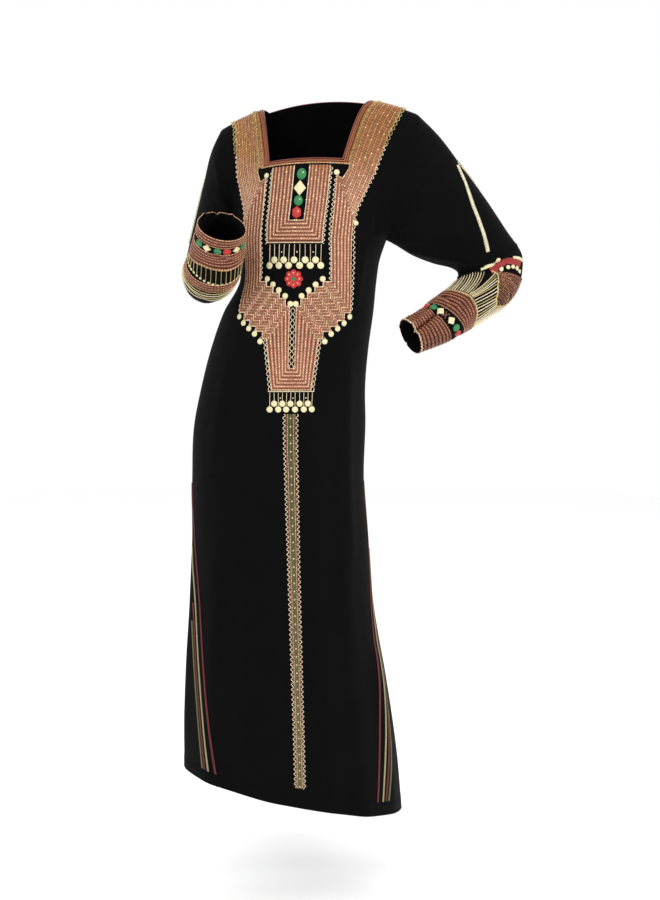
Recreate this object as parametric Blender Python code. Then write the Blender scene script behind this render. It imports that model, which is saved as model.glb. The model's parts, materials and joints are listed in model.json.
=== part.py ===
# Jalabiya: a long black crepe dress with a square neck, a couched yoke and
# embroidered forearms, standing open and hollow as it is worn.
# Metres. +Z is up, the front faces -Y and +X is the wearer's left. The origin is
# between the shoulders, at the base of the neck.
import math

import bpy
import numpy as np
from mathutils import Vector
from mathutils.geometry import delaunay_2d_cdt

# Driving sizes
WALL = 0.0016
SEAM_GAP = 0.00017
LIFT = 0.0014
YOKE_LIFT = 0.0023
BRAID_LIFT = 0.0028
TRIM = 0.0012
YOKE_THICK = 0.0018
UNDERARM = -0.26
SHOULDER_HALF = 0.200
SHOULDER_TOP = 0.015
SHOULDER_SLOPE = 0.046
SHOULDER_TILT = 0.05
HEM = -1.365
HEM_SLANT = -0.225
SLANT_TOP = -0.78
GORE_TOP = -0.70
GORE_HEM_SHARE = 0.54
GORE_CURVE = 0.8
GORE_TIP = 0.006
NECK_HALF_LOW = 0.071
NECK_HALF_HIGH = 0.112
ARMHOLE_DEPTH = 0.052
# How the armholes draw out the front and the back: share where it starts, steepness
FRONT_PULL = (0.4, 2.5)
BACK_PULL = (0.2, 1.4)

# Grids: the rows between underarm and shoulder are shared with the armhole's ring
UPPER_ROWS = 10
NECK_ROW = 5
BACK_NECK_ROW = 9
INNER_COLUMNS = 6
OUTER_COLUMNS = 6
AROUND = 2 * UPPER_ROWS
GORE_ROWS = 10
GORE_COLUMNS = 4
WAIST_ROWS = (-0.645, -0.595)
EDGE_SHARE = 0.99

# Level rings of the body, seen from the front: the two outer edges, the centre front
# line, the depths before and behind the middle, and the turn to the wearer's right
RING_COLUMNS = ("height", "edge_right", "edge_left", "centre_front", "front", "back", "turn")
RINGS = np.array([
    (-1.405, -0.287, 0.160, -0.047, 0.150, 0.140, -6),
    (-1.260, -0.284, 0.147, -0.050, 0.144, 0.138, -6),
    (-1.120, -0.278, 0.125, -0.054, 0.138, 0.134, -7),
    (-0.980, -0.269, 0.099, -0.058, 0.132, 0.130, -7),
    (-0.860, -0.266, 0.088, -0.061, 0.129, 0.130, -7),
    (-0.735, -0.265, 0.078, -0.064, 0.128, 0.132, -7),
    (-0.615, -0.259, 0.081, -0.066, 0.125, 0.128, -5),
    (-0.555, -0.247, 0.080, -0.065, 0.122, 0.118, -2),
    (-0.466, -0.224, 0.087, -0.063, 0.120, 0.106, 2),
    (-0.400, -0.200, 0.096, -0.061, 0.121, 0.104, 6),
    (-0.340, -0.168, 0.102, -0.059, 0.124, 0.106, 10),
    (-0.300, -0.167, 0.108, -0.058, 0.125, 0.110, 12),
    (-0.260, -0.175, 0.121, -0.057, 0.122, 0.114, 14),
])
# Middle line of the body above the underarm
SPINE_COLUMNS = ("height", "x", "turn")
SPINE = np.array([
    (-0.260, -0.0275, 14),
    (-0.180, -0.0170, 15),
    (-0.100, -0.0120, 16),
    (0.030, -0.0170, 16),
])

# Sleeve sections from the armhole to the wrist: the outer and the inner point and
# half the depth between front and back. The armhole itself comes before the first.
SECTION_COLUMNS = ("outer_x", "outer_y", "outer_z", "inner_x", "inner_y", "inner_z", "depth")
SECTIONS = {
    "left": np.array([
        (0.221, -0.040, -0.062, 0.140, -0.034, -0.271, 0.056),
        (0.267, -0.022, -0.119, 0.172, -0.020, -0.290, 0.056),
        (0.316, -0.006, -0.181, 0.212, -0.006, -0.305, 0.055),
        (0.357, 0.005, -0.239, 0.246, 0.004, -0.313, 0.054),
        (0.388, 0.010, -0.283, 0.262, 0.009, -0.322, 0.052),
        (0.391, 0.008, -0.320, 0.264, 0.007, -0.331, 0.052),
        (0.381, 0.000, -0.357, 0.259, 0.000, -0.339, 0.052),
        (0.356, -0.012, -0.387, 0.247, -0.012, -0.351, 0.050),
        (0.316, -0.028, -0.414, 0.226, -0.028, -0.366, 0.047),
        (0.278, -0.045, -0.436, 0.203, -0.045, -0.381, 0.043),
        (0.238, -0.062, -0.457, 0.181, -0.062, -0.398, 0.038),
        (0.180, -0.082, -0.478, 0.150, -0.082, -0.415, 0.034),
    ]),
    "right": np.array([
        (-0.228, 0.052, -0.090, -0.181, 0.038, -0.272, 0.055),
        (-0.240, 0.046, -0.142, -0.187, 0.032, -0.284, 0.056),
        (-0.252, 0.036, -0.195, -0.188, 0.022, -0.293, 0.056),
        (-0.266, 0.017, -0.256, -0.186, 0.007, -0.305, 0.050),
        (-0.275, -0.012, -0.306, -0.182, -0.012, -0.318, 0.050),
        (-0.277, -0.050, -0.329, -0.175, -0.048, -0.331, 0.051),
        (-0.272, -0.092, -0.319, -0.163, -0.088, -0.322, 0.048),
        (-0.259, -0.127, -0.294, -0.155, -0.124, -0.298, 0.045),
        (-0.246, -0.157, -0.261, -0.149, -0.155, -0.272, 0.040),
        (-0.2335, -0.195, -0.228, -0.147, -0.193, -0.249, 0.031),
    ]),
}
SIDE_SIGN = {"left": 1, "right": -1}
ELBOW_SEAM = {"left": 5.5, "right": 5.6}
UPPER_SLEEVE_ROWS = 8
FOREARM_ROWS = 9
PIPING_ROWS = 14
# Gold braids of the triangular insert on each upper sleeve: the angle where each
# starts and ends
PIPING_TOP = 1.74
PIPING_FOOT = 4.15
PIPING_ANGLES = {
    "left": (("front", 0.50, 1.47), ("back", 0.30, -0.62)),
    "right": (("front", -0.42, -0.02), ("back", -0.58, -1.50)),
}
PIPING_WIDTH = 0.007

# Soft folds of the body: face, share of the half width, where it starts and ends,
# width as a share, and how far it stands out at its foot
FOLD_COLUMNS = ("face", "share", "top", "foot", "width", "rise")
FOLDS = np.array([
    (1, 0.46, -0.42, -1.50, 0.10, 0.006),
    (1, -0.62, -0.80, -1.50, 0.09, 0.007),
    (1, -0.22, -1.05, -1.50, 0.12, 0.006),
    (-1, 0.30, -0.45, -1.50, 0.10, 0.009),
    (-1, -0.34, -0.50, -1.50, 0.11, 0.009),
    (-1, 0.72, -0.70, -1.50, 0.09, 0.008),
    (-1, -0.02, -0.80, -1.50, 0.08, 0.006),
])
FOLD_GROWTH = 0.7

# Yoke, from the shoulder down: its outer and inner edge, measured from the centre front
YOKE_COLUMNS = ("height", "outer", "inner")
YOKE_NECK_CLEARANCE = 0.0105
YOKE = (
    (-0.1110, 0.153, 0.0920),
    (-0.1220, 0.149, 0.0920),
    (-0.1280, 0.146, 0.0690),
    (-0.1629, 0.131, 0.0690),
    (-0.1953, 0.123, 0.0690),
    (-0.2277, 0.1205, 0.0690),
    (-0.2600, 0.120, 0.0690),
    (-0.2975, 0.119, 0.0690),
    (-0.3360, 0.118, 0.0690),
    (-0.3650, 0.117, 0.0370),
    (-0.3920, 0.116, 0.0070),
    (-0.3980, 0.109, 0.0),
    (-0.4220, 0.083, 0.0),
    (-0.4450, 0.058, 0.0),
    (-0.4550, 0.054, 0.0),
    (-0.4860, 0.051, 0.0),
    (-0.5200, 0.048, 0.0),
    (-0.5490, 0.0455, 0.0),
)
YOKE_SHOULDER_OUTER = 0.178
YOKE_STRAP_CURVE = 0.9
YOKE_COLUMNS_A_SIDE = 5
BINDING = 0.0095
BIB_TOP = -0.1095
BIB_FOOT = -0.268
BIB_HALF_TOP = 0.064
BIB_HALF_FOOT = 0.0595
BIB_COLUMNS_A_SIDE = 3
SLOT_HALF = 0.0148
SLOT_FOOT = -0.217
BIB_ROWS = (BIB_FOOT, -0.243, SLOT_FOOT, -0.1953, -0.1629, -0.1306, BIB_TOP)
STRIP_TOP = -0.5935
STRIP_HALF_TOP = 0.0155
STRIP_HALF_FOOT = 0.0112
STRIP_ABOVE_HEM = 0.028
# Lines with padded discs under the bib and the tail: edge they hang from, spacing,
# foot of the short and of the long lines
FRINGES = {
    "fringe_upper": (BIB_FOOT, 0.0103, -0.2995, -0.3100, 0.0064),
    "fringe_lower": (-0.549, 0.0084, -0.5735, -0.5845, 0.0055),
}
FRINGE_LINES = 5
LINE_WIDTH = 0.0016
EDGE_CORD = 0.0024
BAR_DEPTH = 0.003
DISC_CORNERS = 7
# Rings of a padded motif: how far each is drawn in, and its part of the rise
CUSHION_RINGS = ((1.0, 0.5), (0.8, 0.9), (0.35, 1.0))
# Padded discs along the V: middle of each, from the side to the centre
V_INNER_DISCS = ((0.0560, -0.3354), (0.0405, -0.3460), (0.0272, -0.3572),
                 (0.0147, -0.3690), (0.0065, -0.3820))
V_OUTER_DISCS = ((0.1130, -0.4085), (0.1020, -0.4200), (0.0885, -0.4305),
                 (0.0750, -0.4410), (0.0630, -0.4545))
V_DISC_RADIUS = 0.0055
V_INNER_EDGE = ((0.0678, -0.3347), (0.0357, -0.3637), (0.0057, -0.3907))
V_OUTER_EDGE = ((0.1172, -0.3940), (0.1102, -0.3998), (0.0842, -0.4237), (0.0595, -0.4465))
# Stones in the bib's slot: name, height, half width, half length, corners
STONES = (
    ("stone_1", -0.1270, 0.0100, 0.0100, 10),
    ("stone_2", -0.1520, 0.0110, 0.0130, 4),
    ("stone_3", -0.1770, 0.0095, 0.0095, 10),
    ("stone_4", -0.2010, 0.0085, 0.0110, 6),
)
STONE_RISE = 0.0025
ROSETTE_HEIGHT = -0.3354
ROSETTE_RADIUS = 0.018
PETALS = 8
PETAL_NOTCH = 0.82
# Tapes on the gores: distance in from the gore's edge, width, and where they begin
TAPES = {
    "tape_red": (0.0035, 0.0045, -0.74),
    "tape_cream": (0.0190, 0.0040, -0.87),
    "tape_olive": (0.0350, 0.0040, -1.03),
}


def smooth(table, names, name, places):
    """One column of a table, read along a smooth curve at any places."""
    knots = table[:, 0]
    values = table[:, names.index(name)]
    slopes = np.gradient(values, knots)
    places = np.clip(places, knots[0], knots[-1])
    low = np.clip(np.searchsorted(knots, places) - 1, 0, len(knots) - 2)
    step = knots[low + 1] - knots[low]
    part = (places - knots[low]) / step
    rest = 1 - part
    start = values[low] * (1 + 2 * part) * rest ** 2 + slopes[low] * step * part * rest ** 2
    end = values[low + 1] * (1 + 2 * rest) * part ** 2 - slopes[low + 1] * step * rest * part ** 2
    return start + end


def unit(vectors):
    return vectors / np.linalg.norm(vectors, axis=-1, keepdims=True)


def stack(x, y, z):
    return np.stack(np.broadcast_arrays(x, y, z), axis=-1)


def quarter_length(across, deep):
    """Length of a quarter of an ellipse with these half axes."""
    root = np.sqrt((3 * across + deep) * (across + 3 * deep))
    return math.pi / 4 * (3 * (across + deep) - root)


def quarter_angle(share, across, deep):
    """Angle from the deep axis that holds this share of the quarter's length."""
    lean = (across - deep) / (across + deep)
    return math.pi / 2 * share - lean / 2 * np.sin(math.pi * share)


def half_widths(height, side):
    """Half width of the body's ring on one side, and its middle."""
    turn = np.radians(smooth(RINGS, RING_COLUMNS, "turn", height))
    front = smooth(RINGS, RING_COLUMNS, "front", height)
    middle = smooth(RINGS, RING_COLUMNS, "centre_front", height) + front * np.sin(turn)
    right = middle - smooth(RINGS, RING_COLUMNS, "edge_right", height)
    left = smooth(RINGS, RING_COLUMNS, "edge_left", height) - middle
    reach = np.where(np.asarray(side) < 0, right, left)
    half = np.sqrt(reach ** 2 - (front * np.sin(turn)) ** 2) / np.cos(turn)
    return half, middle, turn


CHEST_FRONT = smooth(RINGS, RING_COLUMNS, "front", UNDERARM)
RISE = SHOULDER_TOP - UNDERARM
UPPER_LENGTH = float(quarter_length(RISE, CHEST_FRONT))
TOP = UNDERARM + UPPER_LENGTH


def plain_body(face, share, height):
    """Point on the body, before the armholes shape it. Face is 1 in front and -1
    behind, share runs from -1 at the right side seam to 1 at the left, and height
    goes on above the underarm as a length over the chest to the shoulder seam."""
    face, share, height = np.broadcast_arrays(face, share, height)
    low = np.minimum(height, UNDERARM)
    up = np.clip((height - UNDERARM) / UPPER_LENGTH, 0, 1)
    half, middle, turn = half_widths(low, share)
    front = smooth(RINGS, RING_COLUMNS, "front", low)
    back = smooth(RINGS, RING_COLUMNS, "back", low)
    deep = np.where(face > 0, front, back)
    round_angle = quarter_angle(np.abs(share), half, deep)
    out = stack(np.sign(share) * np.sin(round_angle), np.cos(round_angle), 0 * deep)
    across = out[..., 0] * half
    forward = out[..., 1] * deep
    for row in FOLDS:
        fold = dict(zip(FOLD_COLUMNS, row))
        near = np.exp(-((share - fold["share"]) / fold["width"]) ** 2)
        grown = np.clip((fold["top"] - height) / (fold["top"] - fold["foot"]), 0, 1)
        rise = (face == fold["face"]) * fold["rise"] * near * grown ** FOLD_GROWTH
        across = across + out[..., 0] * rise
        forward = forward + out[..., 1] * rise
    climb = quarter_angle(up, RISE, CHEST_FRONT)
    across = across + (share * SHOULDER_HALF - across) * np.sin(climb) ** 2
    forward = forward * np.cos(climb)
    seam = SHOULDER_TOP - SHOULDER_SLOPE * share ** 2
    z = low + (seam - UNDERARM) * np.sin(climb) + SHOULDER_TILT * across * np.sin(climb)
    z = z + HEM_SLANT * across * np.clip((SLANT_TOP - height) / (SLANT_TOP - HEM), 0, 1)
    spine_x = smooth(SPINE, SPINE_COLUMNS, "x", z)
    spine_turn = np.radians(smooth(SPINE, SPINE_COLUMNS, "turn", z))
    middle = np.where(up > 0, spine_x, middle)
    turn = np.where(up > 0, spine_turn, turn)
    forward = forward * face
    x = middle + across * np.cos(turn) - forward * np.sin(turn)
    y = -across * np.sin(turn) - forward * np.cos(turn)
    return stack(x, y, z)


def section_table(side):
    """All sections of a sleeve, the armhole first."""
    sign = SIDE_SIGN[side]
    outer = plain_body(1, sign, TOP)
    inner = plain_body(1, sign, UNDERARM)
    first = np.concatenate([outer, inner, [ARMHOLE_DEPTH]])
    rows = np.vstack([first, SECTIONS[side]])
    return np.column_stack([np.arange(len(rows)), rows])


TABLE_COLUMNS = ("along",) + SECTION_COLUMNS
SLEEVE_TABLES = {side: section_table(side) for side in SIDE_SIGN}
SLEEVE_END = {side: len(SLEEVE_TABLES[side]) - 1 for side in SIDE_SIGN}


def sleeve_axes(side, along):
    """Middle, half axis towards the outer point, and the depth of a section."""
    table = SLEEVE_TABLES[side]
    read = {name: smooth(table, TABLE_COLUMNS, name, along) for name in SECTION_COLUMNS}
    outer = stack(read["outer_x"], read["outer_y"], read["outer_z"])
    inner = stack(read["inner_x"], read["inner_y"], read["inner_z"])
    return (outer + inner) / 2, (outer - inner) / 2, read["depth"]


def sleeve_point(side, along, angle):
    """Point on a sleeve. Angle is 0 at the outer edge, a quarter turn in front."""
    along, angle = np.broadcast_arrays(along, angle)
    step = 0.02
    before = np.clip(along - step, 0, SLEEVE_END[side])
    after = np.clip(along + step, 0, SLEEVE_END[side])
    path = sleeve_axes(side, after)[0] - sleeve_axes(side, before)[0]
    middle, outer, depth = sleeve_axes(side, along)
    front = SIDE_SIGN[side] * unit(np.cross(path, outer)) * depth[..., None]
    return middle + outer * np.cos(angle)[..., None] + front * np.sin(angle)[..., None]


def body_point(face, share, height):
    """Point on the body with its sides drawn out to the armholes."""
    face, share, height = np.broadcast_arrays(face, share, height)
    points = plain_body(face, share, height)
    up = np.clip((height - UNDERARM) / UPPER_LENGTH, 0, 1)
    start = np.where(face > 0, FRONT_PULL[0], BACK_PULL[0])
    power = np.where(face > 0, FRONT_PULL[1], BACK_PULL[1])
    pull = np.clip((np.abs(share) - start) / (1 - start), 0, 1) ** power
    for side, sign in SIDE_SIGN.items():
        ring = sleeve_point(side, 0 * up, face * math.pi * (1 - up))
        shift = ring - plain_body(face, sign + 0 * share, height)
        here = (up > 0) & (share * sign > 0)
        points = points + shift * np.where(here, pull, 0)[..., None]
    return points


def normals(surface, first, second, low, high, outward):
    """Unit normals of a surface of two parameters, kept inside their limits."""
    step = 1e-4
    ends = []
    for parameter in (0, 1):
        pair = []
        for move in (-step, step):
            values = [first, second]
            values[parameter] = np.clip(values[parameter] + move, low[parameter], high[parameter])
            pair.append(surface(*values))
        ends.append(pair[1] - pair[0])
    return outward * unit(np.cross(ends[0], ends[1]))


def body_normals(face, share, height):
    """Outward normals, shared with the sleeve along the armhole."""
    share, height = np.broadcast_arrays(share, height)
    found = normals(
        lambda s, h: body_point(face, s, h), share, height, (-1, -2), (1, TOP - 1e-6), face)
    up = (height - UNDERARM) / UPPER_LENGTH
    for side, sign in SIDE_SIGN.items():
        edge = (share * sign > EDGE_SHARE) & (up >= 0)
        if edge.any():
            found[edge] = armhole_normals(side, face * math.pi * (1 - up[edge]))
    return found


def sleeve_only_normals(side, along, angle):
    return normals(
        lambda a, b: sleeve_point(side, a, b),
        along, angle, (0, -10), (SLEEVE_END[side], 10), -SIDE_SIGN[side])


def armhole_normals(side, angle):
    """Normals along the armhole, halfway between the body's and the sleeve's."""
    sign = SIDE_SIGN[side]
    turned = (angle + math.pi) % (2 * math.pi) - math.pi
    face = np.where(turned >= 0, 1, -1)
    up = 1 - np.abs(turned) / math.pi
    height = UNDERARM + up * UPPER_LENGTH
    body = normals(
        lambda s, h: body_point(face, s, h), sign + 0 * up, height,
        (-1, -2), (1, TOP - 1e-6), 1) * face[..., None]
    sleeve = sleeve_only_normals(side, 0 * up, turned)
    return unit(body + sleeve)


def material(name, colour, roughness, metallic=0.0):
    made = bpy.data.materials.new(name)
    made.use_nodes = True
    shader = made.node_tree.nodes["Principled BSDF"]
    shader.inputs["Base Color"].default_value = (*colour, 1)
    shader.inputs["Roughness"].default_value = roughness
    shader.inputs["Metallic"].default_value = metallic
    return made


def add_solid(name, outer, inner, faces, finish):
    """One closed solid from a sheet's outer and inner points and its faces."""
    keys = {}
    index = []
    for point in np.round(outer, 6):
        index.append(keys.setdefault(tuple(point), len(keys)))
    first = {}
    for place, key in enumerate(index):
        first.setdefault(key, place)
    kept = [first[key] for key in range(len(keys))]
    faces = [tuple(dict.fromkeys(index[i] for i in face)) for face in faces]
    faces = [face for face in faces if len(face) > 2]
    used = sorted({i for face in faces for i in face})
    renumber = {old: new for new, old in enumerate(used)}
    faces = [tuple(renumber[i] for i in face) for face in faces]
    kept = [kept[i] for i in used]
    count = len(kept)
    edges = {}
    for face in faces:
        for start, end in zip(face, face[1:] + face[:1]):
            edges[(start, end)] = True
    rims = [(b, a, a + count, b + count) for a, b in edges if (b, a) not in edges]
    inside = [tuple(i + count for i in reversed(face)) for face in faces]
    mesh = bpy.data.meshes.new(name)
    points = np.vstack([outer[kept], inner[kept]])
    mesh.from_pydata([tuple(p) for p in points], [], faces + inside + rims)
    mesh.materials.append(finish)
    mesh.shade_smooth()
    mesh.set_sharp_from_angle(angle=math.radians(50))
    made = bpy.data.objects.new(name, mesh)
    garment.objects.link(made)
    return made


def every_face(row, column):
    return True


def grid_faces(rows, columns, kept=every_face, flip=False, closed=False):
    """Faces of a grid of points, listed row by row."""
    faces = []
    for row in range(rows - 1):
        for column in range(columns if closed else columns - 1):
            if not kept(row, column):
                continue
            beside = (column + 1) % columns
            face = (row * columns + column, row * columns + beside,
                    (row + 1) * columns + beside, (row + 1) * columns + column)
            faces.append(face[::-1] if flip else face)
    return faces


def cloth_panel(name, points, out, faces, finish):
    flat = points.reshape(-1, 3)
    return add_solid(name, flat, flat - out.reshape(-1, 3) * WALL, faces, finish)


# Heights of the rows, hem to underarm, then underarm to shoulder seam. The yoke has
# rows at the same heights, so that it follows the front.
CHEST_ROWS = [row[0] for row in YOKE if row[0] < UNDERARM]
LOW_ROWS = np.concatenate([
    np.linspace(HEM, GORE_TOP, GORE_ROWS + 1)[:-1],
    [GORE_TOP],
    WAIST_ROWS,
    CHEST_ROWS[::-1],
])
UP_ROWS = UNDERARM + UPPER_LENGTH * np.arange(UPPER_ROWS + 1) / UPPER_ROWS
ROWS = np.concatenate([LOW_ROWS, UP_ROWS])


def gore_share(height):
    """Share of the half width where the gore starts, straight from row to row."""
    down = np.clip((GORE_TOP - ROWS) / (GORE_TOP - HEM), 0, 1)
    return np.interp(height, ROWS, 1 - (1 - GORE_HEM_SHARE) * down ** GORE_CURVE)


def neck_share(height):
    up = np.clip((height - UP_ROWS[NECK_ROW]) / (TOP - UP_ROWS[NECK_ROW]), 0, 1)
    low = NECK_HALF_LOW / SHOULDER_HALF
    return low + (NECK_HALF_HIGH / SHOULDER_HALF - low) * up


def neck_edge(height, side):
    """Length from the centre front to the neck's edge."""
    return neck_share(height) * half_length(height, side)


def half_length(height, side):
    """Length from the centre front to the side, along a row."""
    half, _, _ = half_widths(np.minimum(height, UNDERARM), side)
    front = smooth(RINGS, RING_COLUMNS, "front", np.minimum(height, UNDERARM))
    up = np.clip((height - UNDERARM) / UPPER_LENGTH, 0, 1)
    return quarter_length(half, front) * (1 - up) + SHOULDER_HALF * up


def body_panel(name, face, neck_row, finish):
    """Front or back: an inner group of columns below the neck and two outer groups."""
    rows = []
    heights = ROWS.copy()
    heights[-1] -= SEAM_GAP
    for height in heights:
        neck = neck_share(height)
        wide = SEAM_GAP if height < UNDERARM else 1.5 * SEAM_GAP
        gaps = [wide / half_length(height, sign) for sign in (-1, 1)]
        edge = gore_share(height)
        right = np.linspace(-edge + gaps[0], -neck, OUTER_COLUMNS + 1)
        middle = np.linspace(-neck, neck, INNER_COLUMNS + 1)[1:-1]
        left = np.linspace(neck, edge - gaps[1], OUTER_COLUMNS + 1)
        rows.append(np.concatenate([right, middle, left]))
    shares = np.array(rows)
    heights = np.repeat(heights[:, None], shares.shape[1], axis=1)
    points = body_point(face, shares, heights)
    out = body_normals(face, shares, heights)
    top = len(LOW_ROWS) + neck_row
    faces = grid_faces(
        *shares.shape,
        kept=lambda row, column: row < top or not
        OUTER_COLUMNS <= column < OUTER_COLUMNS + INNER_COLUMNS,
        flip=face < 0)
    return cloth_panel(name, points, out, faces, finish)


def gore(side, finish):
    """Side gore, from the front panel's edge round the side to the back panel's."""
    sign = SIDE_SIGN[side]
    heights = np.append(LOW_ROWS[:GORE_ROWS], GORE_TOP - GORE_TIP)
    points = []
    out = []
    for height in heights:
        edge = gore_share(height) + SEAM_GAP / half_length(height, sign)
        ahead = np.linspace(edge, 1, GORE_COLUMNS + 1) * sign
        front = body_point(1, ahead, height)
        front_out = body_normals(1, ahead, height + 0 * ahead)
        behind = np.linspace(1, edge, GORE_COLUMNS + 1)[1:] * sign
        back = body_point(-1, behind, height)
        back_out = body_normals(-1, behind, height + 0 * behind)
        points.append(np.vstack([front, back]))
        out.append(np.vstack([front_out, back_out]))
    points = np.array(points)
    faces = grid_faces(points.shape[0], points.shape[1], flip=sign < 0)
    return cloth_panel("gore_" + side, points, np.array(out), faces, finish)


def sleeve_piece(name, side, start, end, rows, finish, armhole=False):
    """Tube of sleeve between two places along it."""
    along = np.linspace(start, end, rows + 1)
    angle = np.arange(AROUND) * 2 * math.pi / AROUND
    along, angle = np.meshgrid(along, angle, indexing="ij")
    step = 0.01
    after = sleeve_point(side, np.clip(along + step, 0, SLEEVE_END[side]), angle)
    before = sleeve_point(side, np.clip(along - step, 0, SLEEVE_END[side]), angle)
    speed = np.linalg.norm(after - before, axis=-1) / (2 * step)
    along[0] += SEAM_GAP / speed[0] * (2 if armhole else 1)
    if end < SLEEVE_END[side]:
        along[-1] -= SEAM_GAP / speed[-1]
    points = sleeve_point(side, along, angle)
    out = sleeve_only_normals(side, along, angle)
    if armhole:
        out[0] = armhole_normals(side, angle[0])
    faces = grid_faces(rows + 1, AROUND, closed=True, flip=SIDE_SIGN[side] < 0)
    return cloth_panel(name, points, out, faces, finish)


def on_front(length, height, lift, face=1):
    """Points over the body at a length from the centre front, and their normals."""
    length, height = np.broadcast_arrays(np.asarray(length, float), np.asarray(height, float))
    share = np.clip(length / half_length(height, length), -1, 1)
    out = body_normals(face, share, height)
    return body_point(face, share, height) + out * lift, out


def patch(name, lengths, heights, finish, kept=every_face, thick=TRIM, face=1, lift=LIFT):
    """A trim laid on the body, as a grid of lengths and heights."""
    points, out = on_front(lengths, heights, lift, face)
    rise = np.broadcast_to(np.asarray(thick, float), points.shape[:2])[..., None]
    faces = grid_faces(*points.shape[:2], kept=kept, flip=face < 0)
    outer = (points + out * rise).reshape(-1, 3)
    return add_solid(name, outer, points.reshape(-1, 3), faces, finish)


def flat_shape(name, outlines, finish, thick=TRIM):
    """A trim cut to the union of some outlines, which are lists of length and height."""
    corners = []
    loops = []
    for outline in outlines:
        loops.append(list(range(len(corners), len(corners) + len(outline))))
        corners += [Vector(corner) for corner in outline]
    found = delaunay_2d_cdt(corners, [], loops, 1, 1e-6)
    flat = np.array([tuple(corner) for corner in found[0]])
    points, out = on_front(flat[:, 0], flat[:, 1], LIFT)
    faces = []
    for a, b, c in found[2]:
        (ax, az), (bx, bz) = flat[b] - flat[a], flat[c] - flat[a]
        faces.append((a, b, c) if ax * bz > az * bx else (a, c, b))
    return add_solid(name, points + out * thick, points, faces, finish)


def round_outline(middle, radius, corners, start=0.0):
    turn = start + np.arange(corners) * 2 * math.pi / corners
    return [(middle[0] + radius * math.cos(t), middle[1] + radius * math.sin(t)) for t in turn]


def strand(start, end, width):
    """Outline of a straight cord between two places."""
    way = np.array(end) - np.array(start)
    side = np.array([-way[1], way[0]]) / np.linalg.norm(way) * width / 2
    ends = (start + side, start - side, end - side, end + side)
    return [tuple(corner) for corner in np.array(ends)]


def cushion(name, middle, outline, rise, finish):
    """A padded motif: rings of its outline, drawn in and raised towards the middle."""
    outline = np.array(outline)
    rings = []
    for draw_in, lift in CUSHION_RINGS:
        ring = np.column_stack([outline * draw_in, np.full(len(outline), lift * rise)])
        rings.append(ring)
    flat = np.vstack(rings + [[(0, 0, rise)]])
    points, out = on_front(middle[0] + flat[:, 0], middle[1] + flat[:, 1], LIFT)
    count = len(outline)
    faces = grid_faces(len(CUSHION_RINGS), count, closed=True)
    last = len(CUSHION_RINGS) * count
    faces += [(last - count + i, last - count + (i + 1) % count, last) for i in range(count)]
    lifted = points + out * flat[:, 2:3]
    return add_solid(name, lifted, points, faces, finish)


def sleeve_ribbon(name, side, start, end, width, finish):
    """A narrow braid on a sleeve, between two places given as (along, angle)."""
    share = np.linspace(0, 1, PIPING_ROWS + 1)
    along = start[0] + (end[0] - start[0]) * share
    angle = start[1] + (end[1] - start[1]) * share
    middle = sleeve_point(side, along, angle)
    out = sleeve_only_normals(side, along, angle)
    across = np.cross(out, unit(np.gradient(middle, axis=0))) * width / 2
    points = np.stack([middle - across, middle + across], axis=1)
    out = np.repeat(out[:, None], 2, axis=1)
    lifted = points + out * BRAID_LIFT
    faces = grid_faces(len(share), 2, flip=True)
    outer = (lifted + out * TRIM).reshape(-1, 3)
    return add_solid(name, outer, lifted.reshape(-1, 3), faces, finish)


def clear_scene():
    for old in list(bpy.data.objects):
        bpy.data.objects.remove(old, do_unlink=True)


def binding_path(heights, face, name, finish):
    """Narrow binding down one side of the neck, across and up the other."""
    low = heights[-1]
    right = -neck_edge(heights, -1)
    left = neck_edge(heights, 1)
    across = np.linspace(right[-1], left[-1], INNER_COLUMNS + 1)[1:-1]
    inner = np.concatenate([right, [right[-1]], across, [left[-1]], left[::-1]])
    sides = np.concatenate([heights, [low], low + 0 * across, [low], heights[::-1]])
    out = np.full(len(inner), BINDING)
    out[:len(right) + 1] = -BINDING
    out[len(right) + 1:-len(left) - 1] = 0
    fall = np.zeros(len(inner))
    fall[len(right):-len(left)] = -BINDING
    patch(name, np.array([inner + out, inner]), np.array([sides + fall, sides]), finish, face=face)


def neck_bindings(finish):
    heights = UP_ROWS[:NECK_ROW - 1:-1].copy()
    heights[0] -= SEAM_GAP
    binding_path(heights, 1, "neck_binding", finish)
    binding_path(heights[:UPPER_ROWS - BACK_NECK_ROW + 1], -1, "neck_binding_back", finish)


def yoke(finish):
    """Straps, side strips, V and tail in one, open in the middle above the V."""
    lengths = []
    heights = []
    for height in UP_ROWS[:NECK_ROW - 1:-1]:
        up = (height - UP_ROWS[NECK_ROW]) / (TOP - UP_ROWS[NECK_ROW])
        outer = YOKE[0][1] + (YOKE_SHOULDER_OUTER - YOKE[0][1]) * up ** YOKE_STRAP_CURVE
        edges = [neck_edge(height, sign) + YOKE_NECK_CLEARANCE for sign in (-1, 1)]
        heights.append(height)
        lengths.append([-outer, -edges[0], edges[1], outer])
    heights[0] -= SEAM_GAP
    for height, outer, inner in YOKE:
        heights.append(height)
        lengths.append([-outer, -inner, inner, outer])
    rows = []
    for right_out, right_in, left_in, left_out in lengths[::-1]:
        right = np.linspace(right_out, right_in, YOKE_COLUMNS_A_SIDE + 1)
        left = np.linspace(left_in, left_out, YOKE_COLUMNS_A_SIDE + 1)
        rows.append(np.concatenate([right, left]))
    heights = np.repeat(np.array(heights[::-1])[:, None], len(rows[0]), axis=1)
    patch("yoke", np.array(rows), heights, finish,
          kept=lambda row, column: column != YOKE_COLUMNS_A_SIDE,
          thick=YOKE_THICK, lift=YOKE_LIFT)


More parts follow.
